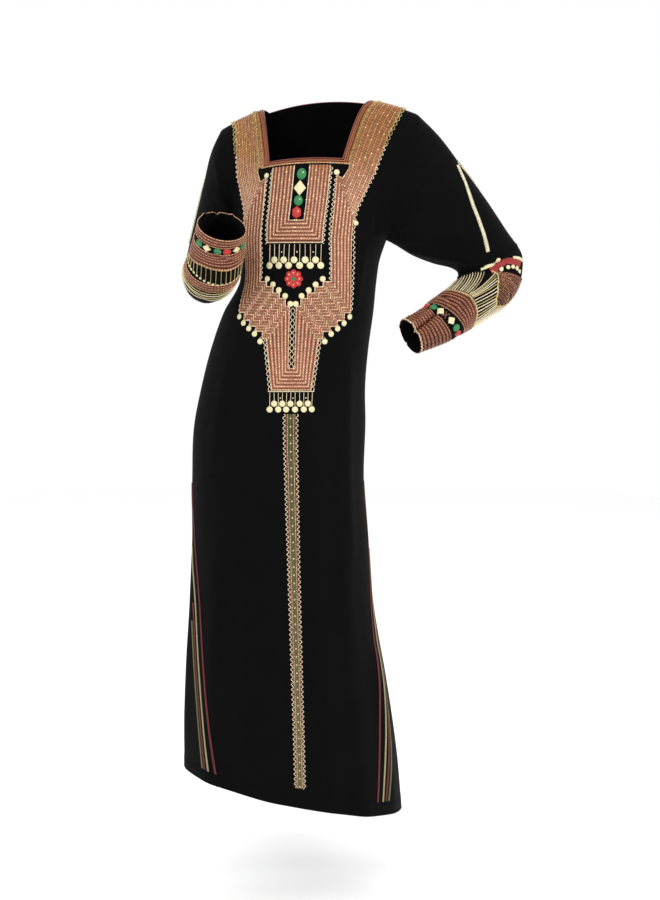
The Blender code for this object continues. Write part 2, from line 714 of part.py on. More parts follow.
def bib(finish):
    heights = np.array(BIB_ROWS)
    share = (heights - BIB_FOOT) / (BIB_TOP - BIB_FOOT)
    half = BIB_HALF_FOOT + (BIB_HALF_TOP - BIB_HALF_FOOT) * share
    lengths = []
    for edge in half:
        left = np.linspace(SLOT_HALF, edge, BIB_COLUMNS_A_SIDE + 1)
        lengths.append(np.concatenate([-left[::-1], [0], left]))
    slot = (BIB_COLUMNS_A_SIDE, BIB_COLUMNS_A_SIDE + 1)
    heights = np.repeat(heights[:, None], len(lengths[0]), axis=1)
    patch("bib", np.array(lengths), heights, finish,
          kept=lambda row, column: row < BIB_ROWS.index(SLOT_FOOT) or column not in slot,
          thick=YOKE_THICK)


def fringe(name, finish):
    """A bar with eleven lines that end in discs, long and short in turn."""
    edge, spacing, short, long, radius = FRINGES[name]
    top = edge - 2 * SEAM_GAP
    reach = FRINGE_LINES * spacing + LINE_WIDTH
    places = np.linspace(-reach, reach, 2 * FRINGE_LINES + 1)
    outlines = [[(x, top) for x in places[::-1]] + [(x, top - BAR_DEPTH) for x in places]]
    for line in range(-FRINGE_LINES, FRINGE_LINES + 1):
        middle = (line * spacing, long if line % 2 else short)
        outlines.append(strand((middle[0], top - BAR_DEPTH / 2), middle, LINE_WIDTH))
        outlines.append(round_outline(middle, radius, DISC_CORNERS, math.pi / 2))
    flat_shape(name, outlines, finish)


def v_discs(name, sign, discs, edge, finish):
    """Discs on short lines along one side of the V, joined by a cord at its edge."""
    edge = [np.array((sign * x, z)) for x, z in edge]
    ways = np.diff(edge, axis=0)
    outlines = [strand(a, b, EDGE_CORD) for a, b in zip(edge[:-1], edge[1:])]
    for disc in discs:
        middle = np.array((sign * disc[0], disc[1]))
        found = []
        for start, way in zip(edge[:-1], ways):
            share = np.clip(np.dot(middle - start, way) / np.dot(way, way), 0.04, 0.96)
            found.append(start + share * way)
        root = min(found, key=lambda place: np.linalg.norm(place - middle))
        outlines.append(strand(root, middle, LINE_WIDTH))
        outlines.append(round_outline(middle, V_DISC_RADIUS, DISC_CORNERS))
    flat_shape(name, outlines, finish)


def stones(finishes):
    for (name, height, wide, tall, corners), finish in zip(STONES, finishes):
        outline = [(wide * x, tall * z) for x, z in round_outline((0, 0), 1, corners)]
        cushion(name, (0, height), outline, STONE_RISE, finish)


def rosette(finish):
    outline = []
    for step in range(3 * PETALS):
        turn = 2 * math.pi * step / (3 * PETALS)
        reach = ROSETTE_RADIUS * (PETAL_NOTCH if step % 3 == 0 else 1)
        outline.append((reach * math.cos(turn), reach * math.sin(turn)))
    cushion("rosette", (0, ROSETTE_HEIGHT), outline, STONE_RISE, finish)


def centre_strip(finish):
    foot = HEM + STRIP_ABOVE_HEM
    inside = ROWS[(ROWS > foot + 0.01) & (ROWS < STRIP_TOP - 0.01)]
    heights = np.concatenate([[foot], inside, [STRIP_TOP]])
    share = (heights - foot) / (STRIP_TOP - foot)
    half = STRIP_HALF_FOOT + (STRIP_HALF_TOP - STRIP_HALF_FOOT) * share ** 2
    lengths = np.stack([-half, 0 * half, half], axis=1)
    patch("centre_strip", lengths, np.repeat(heights[:, None], 3, axis=1), finish)


def tape(name, side, face, finish):
    """A tape down a gore, beside its seam with the front or the back."""
    sign = SIDE_SIGN[side]
    inset, width, top = TAPES[name]
    heights = np.concatenate([ROWS[ROWS < top - 0.02], [top]])
    edge = gore_share(heights) * half_length(heights, sign)
    lengths = np.sort(np.stack([edge + inset, edge + inset + width], axis=1) * sign)
    place = "front" if face > 0 else "back"
    patch(f"{name}_{place}_{side}", lengths, np.repeat(heights[:, None], 2, axis=1), finish,
          face=face)


def pipings(side, finish):
    """Gold braids of the triangular insert above the elbow."""
    for place, top, foot in PIPING_ANGLES[side]:
        sleeve_ribbon(f"piping_{place}_{side}", side, (PIPING_TOP, top), (PIPING_FOOT, foot),
                      PIPING_WIDTH, finish)


clear_scene()
garment = bpy.data.collections.new("jalabiya")
bpy.context.scene.collection.children.link(garment)

crepe = material("black_crepe", (0.012, 0.011, 0.013), 0.85)
crepe_back = material("black_crepe_back", (0.012, 0.011, 0.013), 0.85)
crepe_gore = material("black_crepe_gore", (0.014, 0.012, 0.014), 0.85)
crepe_sleeve = material("black_crepe_sleeve", (0.013, 0.012, 0.013), 0.85)
couched = material("copper_couching", (0.34, 0.09, 0.06), 0.5, 0.2)
couched_bib = material("copper_couching_bib", (0.32, 0.09, 0.06), 0.5, 0.2)
sleeve_couching = material("maroon_couching", (0.22, 0.05, 0.04), 0.5, 0.2)
binding = material("rose_binding", (0.36, 0.14, 0.10), 0.55)
cream = material("cream_satin_stitch", (0.72, 0.65, 0.42), 0.45)
green = material("green_satin_stitch", (0.02, 0.18, 0.10), 0.4)
red = material("red_satin_stitch", (0.50, 0.03, 0.04), 0.4)
olive = material("olive_braid", (0.20, 0.19, 0.06), 0.55)
gold = material("gold_braid", (0.60, 0.47, 0.20), 0.4, 0.4)

body_panel("front", 1, NECK_ROW, crepe)
body_panel("back", -1, BACK_NECK_ROW, crepe_back)
for side in SIDE_SIGN:
    gore(side, crepe_gore)
    sleeve_piece(
        "sleeve_" + side, side, 0, ELBOW_SEAM[side], UPPER_SLEEVE_ROWS,
        crepe_sleeve, armhole=True)
    sleeve_piece(
        "forearm_" + side, side, ELBOW_SEAM[side], SLEEVE_END[side], FOREARM_ROWS,
        sleeve_couching)
    pipings(side, gold)
    for name, finish in (("tape_red", red), ("tape_cream", cream), ("tape_olive", olive)):
        tape(name, side, 1, finish)
        tape(name, side, -1, finish)
    v_discs("v_inner_" + side, SIDE_SIGN[side], V_INNER_DISCS, V_INNER_EDGE, cream)
    v_discs("v_outer_" + side, SIDE_SIGN[side], V_OUTER_DISCS, V_OUTER_EDGE, cream)

neck_bindings(binding)
yoke(couched)
bib(couched_bib)
for name in FRINGES:
    fringe(name, cream)
stones((green, cream, green, red))
rosette(red)
centre_strip(olive)
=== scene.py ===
# %% [markdown]
# A jalabiya in couched cords
# This lesson dresses a long black crepe dress. The frame below holds its plain cut
# pieces. Each of them is replaced by fine cloth, and everything a worker sews on
# top follows: couched cords, satin discs, stones, tapes and braids.
# Metres. +Z is up, the front faces -Y, and +X is the dress's own left.

# %% Load the frame
import json
import math

import bmesh
import bpy
import numpy as np
from mathutils import Vector
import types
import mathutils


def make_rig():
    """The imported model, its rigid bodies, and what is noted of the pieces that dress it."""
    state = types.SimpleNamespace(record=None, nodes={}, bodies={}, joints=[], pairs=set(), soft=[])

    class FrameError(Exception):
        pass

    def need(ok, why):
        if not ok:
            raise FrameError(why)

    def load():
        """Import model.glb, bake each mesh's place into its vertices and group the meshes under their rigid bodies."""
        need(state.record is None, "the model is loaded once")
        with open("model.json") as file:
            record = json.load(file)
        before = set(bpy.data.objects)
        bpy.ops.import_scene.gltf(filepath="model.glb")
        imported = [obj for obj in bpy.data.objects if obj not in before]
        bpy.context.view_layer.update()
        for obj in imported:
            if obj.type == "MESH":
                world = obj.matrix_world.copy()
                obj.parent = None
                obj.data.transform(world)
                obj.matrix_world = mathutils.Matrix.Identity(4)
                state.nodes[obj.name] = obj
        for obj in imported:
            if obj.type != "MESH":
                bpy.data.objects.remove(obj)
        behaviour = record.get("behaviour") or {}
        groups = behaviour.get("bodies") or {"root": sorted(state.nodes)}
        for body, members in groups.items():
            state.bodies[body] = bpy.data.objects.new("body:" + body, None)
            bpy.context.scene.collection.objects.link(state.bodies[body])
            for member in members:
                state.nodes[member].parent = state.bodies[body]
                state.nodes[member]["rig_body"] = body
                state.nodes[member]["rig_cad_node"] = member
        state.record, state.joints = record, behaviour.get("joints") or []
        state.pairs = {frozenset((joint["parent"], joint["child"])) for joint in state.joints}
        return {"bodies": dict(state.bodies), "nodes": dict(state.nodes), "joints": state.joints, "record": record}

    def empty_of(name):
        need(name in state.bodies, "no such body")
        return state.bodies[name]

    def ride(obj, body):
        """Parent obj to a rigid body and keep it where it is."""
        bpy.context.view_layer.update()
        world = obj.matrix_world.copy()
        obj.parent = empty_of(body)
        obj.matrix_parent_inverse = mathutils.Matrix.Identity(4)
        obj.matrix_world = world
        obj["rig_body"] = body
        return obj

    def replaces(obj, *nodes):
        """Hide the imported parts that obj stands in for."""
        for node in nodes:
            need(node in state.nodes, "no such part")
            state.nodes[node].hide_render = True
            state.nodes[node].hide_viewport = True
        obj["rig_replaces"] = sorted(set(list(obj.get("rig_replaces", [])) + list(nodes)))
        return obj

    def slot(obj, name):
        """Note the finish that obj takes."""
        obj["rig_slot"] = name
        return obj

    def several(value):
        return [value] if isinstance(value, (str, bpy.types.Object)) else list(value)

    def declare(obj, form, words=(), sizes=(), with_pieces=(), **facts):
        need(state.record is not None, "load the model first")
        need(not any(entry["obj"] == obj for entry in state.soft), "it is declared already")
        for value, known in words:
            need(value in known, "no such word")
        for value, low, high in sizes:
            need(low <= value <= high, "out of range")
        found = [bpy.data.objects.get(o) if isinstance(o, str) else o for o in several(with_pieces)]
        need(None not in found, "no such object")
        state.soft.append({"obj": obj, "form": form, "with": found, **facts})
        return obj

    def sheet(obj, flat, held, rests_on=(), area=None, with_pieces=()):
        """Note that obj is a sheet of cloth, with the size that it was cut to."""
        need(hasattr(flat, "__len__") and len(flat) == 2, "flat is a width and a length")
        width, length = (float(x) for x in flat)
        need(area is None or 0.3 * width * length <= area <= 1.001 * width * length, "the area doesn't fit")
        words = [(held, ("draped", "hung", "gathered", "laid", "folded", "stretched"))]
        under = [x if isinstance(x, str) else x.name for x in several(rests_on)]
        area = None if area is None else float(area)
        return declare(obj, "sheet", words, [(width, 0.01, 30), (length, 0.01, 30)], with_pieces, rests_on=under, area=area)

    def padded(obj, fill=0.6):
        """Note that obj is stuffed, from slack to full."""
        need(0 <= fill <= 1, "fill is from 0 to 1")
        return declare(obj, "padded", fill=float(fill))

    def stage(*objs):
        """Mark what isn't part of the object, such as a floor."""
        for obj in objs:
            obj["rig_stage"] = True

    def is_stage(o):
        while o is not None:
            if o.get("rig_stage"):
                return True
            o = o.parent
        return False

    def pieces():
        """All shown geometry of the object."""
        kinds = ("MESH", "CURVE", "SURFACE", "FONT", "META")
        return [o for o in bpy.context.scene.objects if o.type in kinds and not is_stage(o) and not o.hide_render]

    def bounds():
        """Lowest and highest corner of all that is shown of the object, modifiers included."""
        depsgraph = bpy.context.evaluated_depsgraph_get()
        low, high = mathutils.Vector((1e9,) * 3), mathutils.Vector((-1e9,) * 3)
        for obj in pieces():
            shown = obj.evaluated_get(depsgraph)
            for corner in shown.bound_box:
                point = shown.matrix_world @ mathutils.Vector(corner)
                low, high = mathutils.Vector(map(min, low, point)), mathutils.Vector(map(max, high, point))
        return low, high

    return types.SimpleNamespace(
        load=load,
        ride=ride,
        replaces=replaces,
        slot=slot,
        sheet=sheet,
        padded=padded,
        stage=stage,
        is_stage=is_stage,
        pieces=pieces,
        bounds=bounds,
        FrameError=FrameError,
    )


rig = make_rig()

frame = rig.load()
cad_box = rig.bounds()
print("pieces of the frame:", len(frame["nodes"]), "box:", cad_box)

# %% [markdown]
# Camera
# The dress was seen from a little above chest height, straight on. The lens length
# is worked out for a frame 900 pixels high, so the camera needs no shift.

# %% Place the camera
eye = bpy.data.cameras.new("front_view")
eye.lens = 64.373
eye.sensor_width = 36.0
viewer = bpy.data.objects.new("front_view", eye)
viewer.location = (0.010, -3.2, -0.33)
viewer.rotation_euler = (math.radians(90 - 6.171), 0, 0)
bpy.context.scene.collection.objects.link(viewer)
bpy.context.scene.camera = viewer
print("camera at", tuple(viewer.location))

# %% [markdown]
# Sizes of the cut
# These tables are the pattern cutter's measures. Level rings give the body from hem
# to underarm, a spine gives the way it turns above, and sections give the sleeves
# from armhole to wrist. The long folds of the skirt are rows of a table as well.

# %% Tables of the cut
UNDERARM = -0.26
SHOULDER_HALF = 0.200
SHOULDER_TOP = 0.015
SHOULDER_SLOPE = 0.046
SHOULDER_TILT = 0.05
HEM = -1.365
HEM_SLANT = -0.225
SLANT_TOP = -0.78
GORE_TOP = -0.70
GORE_HEM_SHARE = 0.54
GORE_CURVE = 0.8
NECK_HALF_LOW = 0.071
NECK_HALF_HIGH = 0.112
ARMHOLE_DEPTH = 0.052
FRONT_PULL = (0.4, 2.5)
BACK_PULL = (0.2, 1.4)
RING_COLUMNS = ("height", "edge_right", "edge_left", "centre_front", "front", "back", "turn")
RINGS = np.array([
    (-1.405, -0.287, 0.160, -0.047, 0.150, 0.140, -6),
    (-1.260, -0.284, 0.147, -0.050, 0.144, 0.138, -6),
    (-1.120, -0.278, 0.125, -0.054, 0.138, 0.134, -7),
    (-0.980, -0.269, 0.099, -0.058, 0.132, 0.130, -7),
    (-0.860, -0.266, 0.088, -0.061, 0.129, 0.130, -7),
    (-0.735, -0.265, 0.078, -0.064, 0.128, 0.132, -7),
    (-0.615, -0.259, 0.081, -0.066, 0.125, 0.128, -5),
    (-0.555, -0.247, 0.080, -0.065, 0.122, 0.118, -2),
    (-0.466, -0.224, 0.087, -0.063, 0.120, 0.106, 2),
    (-0.400, -0.200, 0.096, -0.061, 0.121, 0.104, 6),
    (-0.340, -0.168, 0.102, -0.059, 0.124, 0.106, 10),
    (-0.300, -0.167, 0.108, -0.058, 0.125, 0.110, 12),
    (-0.260, -0.175, 0.121, -0.057, 0.122, 0.114, 14),
])
print("rings:", len(RINGS))

# %% Tables of the shoulders, sleeves and folds
SPINE_COLUMNS = ("height", "x", "turn")
SPINE = np.array([
    (-0.260, -0.0275, 14), (-0.180, -0.0170, 15), (-0.100, -0.0120, 16), (0.030, -0.0170, 16),
])
SECTION_COLUMNS = ("outer_x", "outer_y", "outer_z", "inner_x", "inner_y", "inner_z", "depth")
SECTIONS = {
    "left": np.array([
        (0.221, -0.040, -0.062, 0.140, -0.034, -0.271, 0.056),
        (0.267, -0.022, -0.119, 0.172, -0.020, -0.290, 0.056),
        (0.316, -0.006, -0.181, 0.212, -0.006, -0.305, 0.055),
        (0.357, 0.005, -0.239, 0.246, 0.004, -0.313, 0.054),
        (0.388, 0.010, -0.283, 0.262, 0.009, -0.322, 0.052),
        (0.391, 0.008, -0.320, 0.264, 0.007, -0.331, 0.052),
        (0.381, 0.000, -0.357, 0.259, 0.000, -0.339, 0.052),
        (0.356, -0.012, -0.387, 0.247, -0.012, -0.351, 0.050),
        (0.316, -0.028, -0.414, 0.226, -0.028, -0.366, 0.047),
        (0.278, -0.045, -0.436, 0.203, -0.045, -0.381, 0.043),
        (0.238, -0.062, -0.457, 0.181, -0.062, -0.398, 0.038),
        (0.180, -0.082, -0.478, 0.150, -0.082, -0.415, 0.034),
    ]),
    "right": np.array([
        (-0.228, 0.052, -0.090, -0.181, 0.038, -0.272, 0.055),
        (-0.240, 0.046, -0.142, -0.187, 0.032, -0.284, 0.056),
        (-0.252, 0.036, -0.195, -0.188, 0.022, -0.293, 0.056),
        (-0.266, 0.017, -0.256, -0.186, 0.007, -0.305, 0.050),
        (-0.275, -0.012, -0.306, -0.182, -0.012, -0.318, 0.050),
        (-0.277, -0.050, -0.329, -0.175, -0.048, -0.331, 0.051),
        (-0.272, -0.092, -0.319, -0.163, -0.088, -0.322, 0.048),
        (-0.259, -0.127, -0.294, -0.155, -0.124, -0.298, 0.045),
        (-0.246, -0.157, -0.261, -0.149, -0.155, -0.272, 0.040),
        (-0.2335, -0.195, -0.228, -0.147, -0.193, -0.249, 0.031),
    ]),
}
SIDE_SIGN = {"left": 1, "right": -1}
ELBOW_SEAM = {"left": 5.5, "right": 5.6}
FOLD_COLUMNS = ("face", "share", "top", "foot", "width", "rise")
FOLDS = np.array([
    (1, 0.46, -0.42, -1.50, 0.10, 0.006),
    (1, -0.62, -0.80, -1.50, 0.09, 0.007),
    (1, -0.22, -1.05, -1.50, 0.12, 0.006),
    (-1, 0.30, -0.45, -1.50, 0.10, 0.009),
    (-1, -0.34, -0.50, -1.50, 0.11, 0.009),
    (-1, 0.72, -0.70, -1.50, 0.09, 0.008),
    (-1, -0.02, -0.80, -1.50, 0.08, 0.006),
])
FOLD_GROWTH = 0.7
print("sleeve sections:", {side: len(rows) for side, rows in SECTIONS.items()})

# %% [markdown]
# The worn dress as two charts
# A pattern cutter marks a place on cloth by lengths, not by x, y and z. The body has
# a chart of length from the centre front and height. A sleeve has a chart of how
# far along it a place is and its angle round the arm. Everything sewn on the dress
# is drawn in these charts, so that it lies on the cloth whatever the cloth does.

# %% Smooth reading of a table
def smooth(table, names, name, places):
    """One column of a table, read between its rows without corners."""
    knots = table[:, 0]
    values = table[:, names.index(name)]
    slopes = np.gradient(values, knots)
    places = np.clip(places, knots[0], knots[-1])
    low = np.clip(np.searchsorted(knots, places) - 1, 0, len(knots) - 2)
    step = knots[low + 1] - knots[low]
    part = (places - knots[low]) / step
    rest = 1 - part
    start = values[low] * (1 + 2 * part) * rest ** 2 + slopes[low] * step * part * rest ** 2
    end = values[low + 1] * (1 + 2 * rest) * part ** 2 - slopes[low + 1] * step * rest * part ** 2
    return start + end


def unit(vectors):
    return vectors / np.linalg.norm(vectors, axis=-1, keepdims=True)


def stack(x, y, z):
    return np.stack(np.broadcast_arrays(x, y, z), axis=-1)


def quarter_length(across, deep):
    """Length of a quarter of an ellipse with these half axes."""
    root = np.sqrt((3 * across + deep) * (across + 3 * deep))
    return math.pi / 4 * (3 * (across + deep) - root)


def quarter_angle(share, across, deep):
    """Angle from the deep axis that holds this share of the quarter's length."""
    lean = (across - deep) / (across + deep)
    return math.pi / 2 * share - lean / 2 * np.sin(math.pi * share)


print("quarter of a round 0.2 m:", round(float(quarter_length(0.2, 0.2)), 4))

# %% The plain body
CHEST_FRONT = smooth(RINGS, RING_COLUMNS, "front", UNDERARM)
RISE = SHOULDER_TOP - UNDERARM
UPPER_LENGTH = float(quarter_length(RISE, CHEST_FRONT))
TOP = UNDERARM + UPPER_LENGTH


def half_widths(height, side):
    """Half width of the body's ring on one side, and its middle."""
    turn = np.radians(smooth(RINGS, RING_COLUMNS, "turn", height))
    front = smooth(RINGS, RING_COLUMNS, "front", height)
    middle = smooth(RINGS, RING_COLUMNS, "centre_front", height) + front * np.sin(turn)
    right = middle - smooth(RINGS, RING_COLUMNS, "edge_right", height)
    left = smooth(RINGS, RING_COLUMNS, "edge_left", height) - middle
    reach = np.where(np.asarray(side) < 0, right, left)
    half = np.sqrt(reach ** 2 - (front * np.sin(turn)) ** 2) / np.cos(turn)
    return half, middle, turn


def half_length(height, side):
    """Length from the centre front to the side, along a row."""
    half, _, _ = half_widths(np.minimum(height, UNDERARM), side)
    front = smooth(RINGS, RING_COLUMNS, "front", np.minimum(height, UNDERARM))
    up = np.clip((height - UNDERARM) / UPPER_LENGTH, 0, 1)
    return quarter_length(half, front) * (1 - up) + SHOULDER_HALF * up


def plain_body(face, share, height):
    """Point on the body: face 1 in front and -1 behind, share -1 to 1 across."""
    face, share, height = np.broadcast_arrays(face, share, height)
    low = np.minimum(height, UNDERARM)
    up = np.clip((height - UNDERARM) / UPPER_LENGTH, 0, 1)
    half, middle, turn = half_widths(low, share)
    front = smooth(RINGS, RING_COLUMNS, "front", low)
    back = smooth(RINGS, RING_COLUMNS, "back", low)
    deep = np.where(face > 0, front, back)
    round_angle = quarter_angle(np.abs(share), half, deep)
    out = stack(np.sign(share) * np.sin(round_angle), np.cos(round_angle), 0 * deep)
    across = out[..., 0] * half
    forward = out[..., 1] * deep
    for row in FOLDS:
        fold = dict(zip(FOLD_COLUMNS, row))
        near = np.exp(-((share - fold["share"]) / fold["width"]) ** 2)
        grown = np.clip((fold["top"] - height) / (fold["top"] - fold["foot"]), 0, 1)
        rise = (face == fold["face"]) * fold["rise"] * near * grown ** FOLD_GROWTH
        across = across + out[..., 0] * rise
        forward = forward + out[..., 1] * rise
    climb = quarter_angle(up, RISE, CHEST_FRONT)
    across = across + (share * SHOULDER_HALF - across) * np.sin(climb) ** 2
    forward = forward * np.cos(climb)
    seam = SHOULDER_TOP - SHOULDER_SLOPE * share ** 2
    z = low + (seam - UNDERARM) * np.sin(climb) + SHOULDER_TILT * across * np.sin(climb)
    z = z + HEM_SLANT * across * np.clip((SLANT_TOP - height) / (SLANT_TOP - HEM), 0, 1)
    spine_x = smooth(SPINE, SPINE_COLUMNS, "x", z)
    spine_turn = np.radians(smooth(SPINE, SPINE_COLUMNS, "turn", z))
    middle = np.where(up > 0, spine_x, middle)
    turn = np.where(up > 0, spine_turn, turn)
    forward = forward * face
    x = middle + across * np.cos(turn) - forward * np.sin(turn)
    y = -across * np.sin(turn) - forward * np.cos(turn)
    return stack(x, y, z)


print("shoulder seam at chart height", round(TOP, 4))

# %% The sleeves
def section_table(side):
    sign = SIDE_SIGN[side]
    first = np.concatenate([
        plain_body(1, sign, TOP), plain_body(1, sign, UNDERARM), [ARMHOLE_DEPTH]])
    rows = np.vstack([first, SECTIONS[side]])
    return np.column_stack([np.arange(len(rows)), rows])


TABLE_COLUMNS = ("along",) + SECTION_COLUMNS
SLEEVE_TABLES = {side: section_table(side) for side in SIDE_SIGN}
SLEEVE_END = {side: len(SLEEVE_TABLES[side]) - 1 for side in SIDE_SIGN}


def sleeve_axes(side, along):
    table = SLEEVE_TABLES[side]
    read = {name: smooth(table, TABLE_COLUMNS, name, along) for name in SECTION_COLUMNS}
    outer = stack(read["outer_x"], read["outer_y"], read["outer_z"])
    inner = stack(read["inner_x"], read["inner_y"], read["inner_z"])
    return (outer + inner) / 2, (outer - inner) / 2, read["depth"]


def plain_sleeve(side, along, angle):
    """Point on a sleeve. Angle is 0 at the outer edge, a quarter turn in front."""
    along, angle = np.broadcast_arrays(along, angle)
    step = 0.02
    before = np.clip(along - step, 0, SLEEVE_END[side])
    after = np.clip(along + step, 0, SLEEVE_END[side])
    path = sleeve_axes(side, after)[0] - sleeve_axes(side, before)[0]
    middle, outer, depth = sleeve_axes(side, along)
    front = SIDE_SIGN[side] * unit(np.cross(path, outer)) * depth[..., None]
    return middle + outer * np.cos(angle)[..., None] + front * np.sin(angle)[..., None]


def drawn_body(face, share, height):
    """Point on the body with its sides drawn out to the armholes."""
    face, share, height = np.broadcast_arrays(face, share, height)
    points = plain_body(face, share, height)
    up = np.clip((height - UNDERARM) / UPPER_LENGTH, 0, 1)
    start = np.where(face > 0, FRONT_PULL[0], BACK_PULL[0])
    power = np.where(face > 0, FRONT_PULL[1], BACK_PULL[1])
    pull = np.clip((np.abs(share) - start) / (1 - start), 0, 1) ** power
    for side, sign in SIDE_SIGN.items():
        ring = plain_sleeve(side, 0 * up, face * math.pi * (1 - up))
        shift = ring - plain_body(face, sign + 0 * share, height)
        here = (up > 0) & (share * sign > 0)
        points = points + shift * np.where(here, pull, 0)[..., None]
    return points


print("sleeves end at", SLEEVE_END)

# %% [markdown]
# Creases
# Crepe falls in soft, broad folds. A crease is a line drawn in a chart, with a width
# and a rise, and it fades at both ends. Sleeves break at the armpit and at the
# elbow, and the skirt has a few long waves. Simulated cloth would slip from these
# places, so the creases are laid one by one, as a dresser would. The same kinds are
# set on the hidden sides too, unevenly.

# %% Crease tables
BODY_CREASES = (
    # face, then from and to as length and height, width, rise
    (1, 0.150, -0.235, 0.105, -0.120, 0.012, 0.0040),
    (1, 0.165, -0.250, 0.150, -0.110, 0.010, -0.0030),
    (1, 0.145, -0.270, 0.125, -0.400, 0.012, 0.0030),
    (1, -0.145, -0.240, -0.150, -0.130, 0.012, 0.0030),
    (1, 0.120, -0.470, 0.128, -0.900, 0.016, 0.0040),
    (1, 0.085, -0.560, 0.080, -1.000, 0.020, -0.0025),
    (1, -0.130, -0.480, -0.160, -0.700, 0.016, 0.0030),
    (1, -0.090, -0.900, -0.120, -1.360, 0.022, 0.0040),
    (1, 0.060, -1.000, 0.065, -1.365, 0.020, 0.0035),
    (1, 0.190, -1.050, 0.215, -1.365, 0.018, 0.0060),
    (1, -0.235, -0.850, -0.270, -1.365, 0.018, 0.0050),
    (1, -0.030, -0.620, -0.075, -0.740, 0.020, 0.0018),
    (-1, 0.120, -0.220, 0.050, -0.100, 0.014, 0.0040),
    (-1, -0.130, -0.220, -0.070, -0.090, 0.014, 0.0040),
    (-1, 0.060, -0.300, 0.020, -0.520, 0.018, 0.0045),
    (-1, -0.080, -0.320, -0.060, -0.540, 0.016, 0.0040),
    (-1, 0.130, -0.400, 0.150, -0.700, 0.018, 0.0040),
    (-1, -0.150, -0.420, -0.170, -0.760, 0.018, 0.0045),
    (-1, 0.030, -0.800, 0.020, -1.365, 0.024, 0.0055),
    (-1, 0.180, -0.900, 0.210, -1.365, 0.022, 0.0060),
    (-1, -0.180, -0.950, -0.230, -1.365, 0.022, 0.0060),
    (-1, -0.060, -0.450, 0.060, -0.480, 0.010, -0.0020),
)
SLEEVE_CREASES = {
    # from and to as place along and angle in degrees, width in metres, rise
    "left": (
        (0.35, 150, 2.2, 40, 0.012, 0.0050), (0.50, 165, 3.6, 75, 0.013, 0.0045),
        (0.90, 170, 4.6, 112, 0.012, 0.0040), (0.30, 120, 1.5, 30, 0.010, -0.0035),
        (1.60, 140, 3.8, 95, 0.010, -0.0030), (0.40, -150, 2.4, -40, 0.013, 0.0050),
        (0.60, -168, 3.9, -85, 0.013, 0.0045), (1.20, -130, 3.2, -100, 0.010, -0.0035),
        (4.55, 10, 5.00, 95, 0.008, 0.0045), (4.95, 40, 5.25, 150, 0.007, -0.0040),
        (5.30, 100, 5.60, 178, 0.008, 0.0050), (4.60, -20, 5.10, -110, 0.008, 0.0045),
        (5.10, -60, 5.40, -160, 0.007, -0.0040), (6.40, 86, 7.10, 24, 0.005, -0.0042),
        (6.90, 120, 6.60, 178, 0.006, 0.0030), (7.00, 74, 7.90, 4, 0.005, -0.0030),
        (6.10, 60, 6.60, 4, 0.005, 0.0026), (7.60, 66, 7.00, 104, 0.005, 0.0026),
        (9.40, 170, 9.90, 100, 0.005, -0.0032), (9.60, 92, 10.30, 58, 0.005, -0.0026),
        (10.62, 116, 12.5, 99, 0.0048, -0.0135), (10.50, 134, 12.4, 121, 0.006, 0.0045),
        (10.60, 96, 12.4, 78, 0.006, 0.0030), (10.90, 30, 12.2, 46, 0.005, -0.0024),
        (11.2, 150, 11.9, 170, 0.006, 0.0025), (11.00, -62, 12.4, -78, 0.005, -0.0040),
        (9.40, -150, 9.90, -90, 0.005, -0.0028), (11.3, -150, 12.2, -128, 0.005, 0.0026),
    ),
    "right": (
        (0.35, 150, 2.4, 60, 0.012, 0.0045), (0.50, -150, 2.6, -50, 0.012, 0.0050),
        (0.90, -165, 3.8, -95, 0.012, 0.0045), (1.10, -120, 3.0, -60, 0.010, -0.0035),
        (1.30, 120, 3.6, 60, 0.010, -0.0030), (4.30, -30, 5.00, -120, 0.008, 0.0040),
        (4.80, 20, 5.40, 110, 0.008, 0.0040), (5.10, -60, 5.60, -150, 0.007, -0.0035),
        (5.90, -30, 6.20, -100, 0.006, 0.0025), (6.50, -90, 6.80, -20, 0.005, -0.0028),
        (8.60, -140, 9.40, -70, 0.005, -0.0024), (6.20, 80, 6.90, 20, 0.005, -0.0030),
        (9.62, 28, 10.6, 46, 0.005, 0.0026), (9.60, 62, 10.7, 84, 0.0045, -0.0050),
        (9.62, 100, 10.6, 118, 0.005, 0.0026), (7.30, 100, 7.90, 40, 0.005, -0.0022),
    ),
}
print("creases on the body:", len(BODY_CREASES))

# %% Rise of the creases
# metres of one step along a sleeve and of one degree round it
SLEEVE_SCALE = (0.062, 0.0011)


def near_line(u, v, row, scale):
    """How strongly a line of a chart is felt at places, 1 on it, fading at its ends."""
    au, av, bu, bv = np.array(row[:4]) * (scale + scale)
    du, dv = bu - au, bv - av
    long = math.hypot(du, dv)
    share = ((u * scale[0] - au) * du + (v * scale[1] - av) * dv) / long ** 2
    aside = ((u * scale[0] - au) * dv - (v * scale[1] - av) * du) / long
    fade = np.clip(1.15 - np.abs(2 * share - 1) ** 3, 0, 1)
    return np.exp(-(aside / row[4]) ** 2) * fade


def body_rise(face, share, height):
    length = share * half_length(height, share)
    rise = np.zeros(np.shape(share))
    for row in BODY_CREASES:
        rise = rise + (face == row[0]) * row[-1] * near_line(length, height, row[1:], (1, 1))
    hush = (1 - np.abs(share) ** 10) * np.clip((TOP - height) / 0.03, 0, 1)
    return rise * np.where(height > UNDERARM, hush, 1 - np.abs(share) ** 40)


def sleeve_rise(side, along, angle):
    turned = np.degrees((angle + math.pi) % (2 * math.pi) - math.pi)
    rise = np.zeros(np.shape(turned))
    for row in SLEEVE_CREASES[side]:
        rise = rise + row[-1] * near_line(along, turned, row, SLEEVE_SCALE)
    return rise * np.clip(along / 0.4, 0, 1)


print("rise at the left armpit:", float(sleeve_rise("left", np.array(0.8), np.array(2.4))))

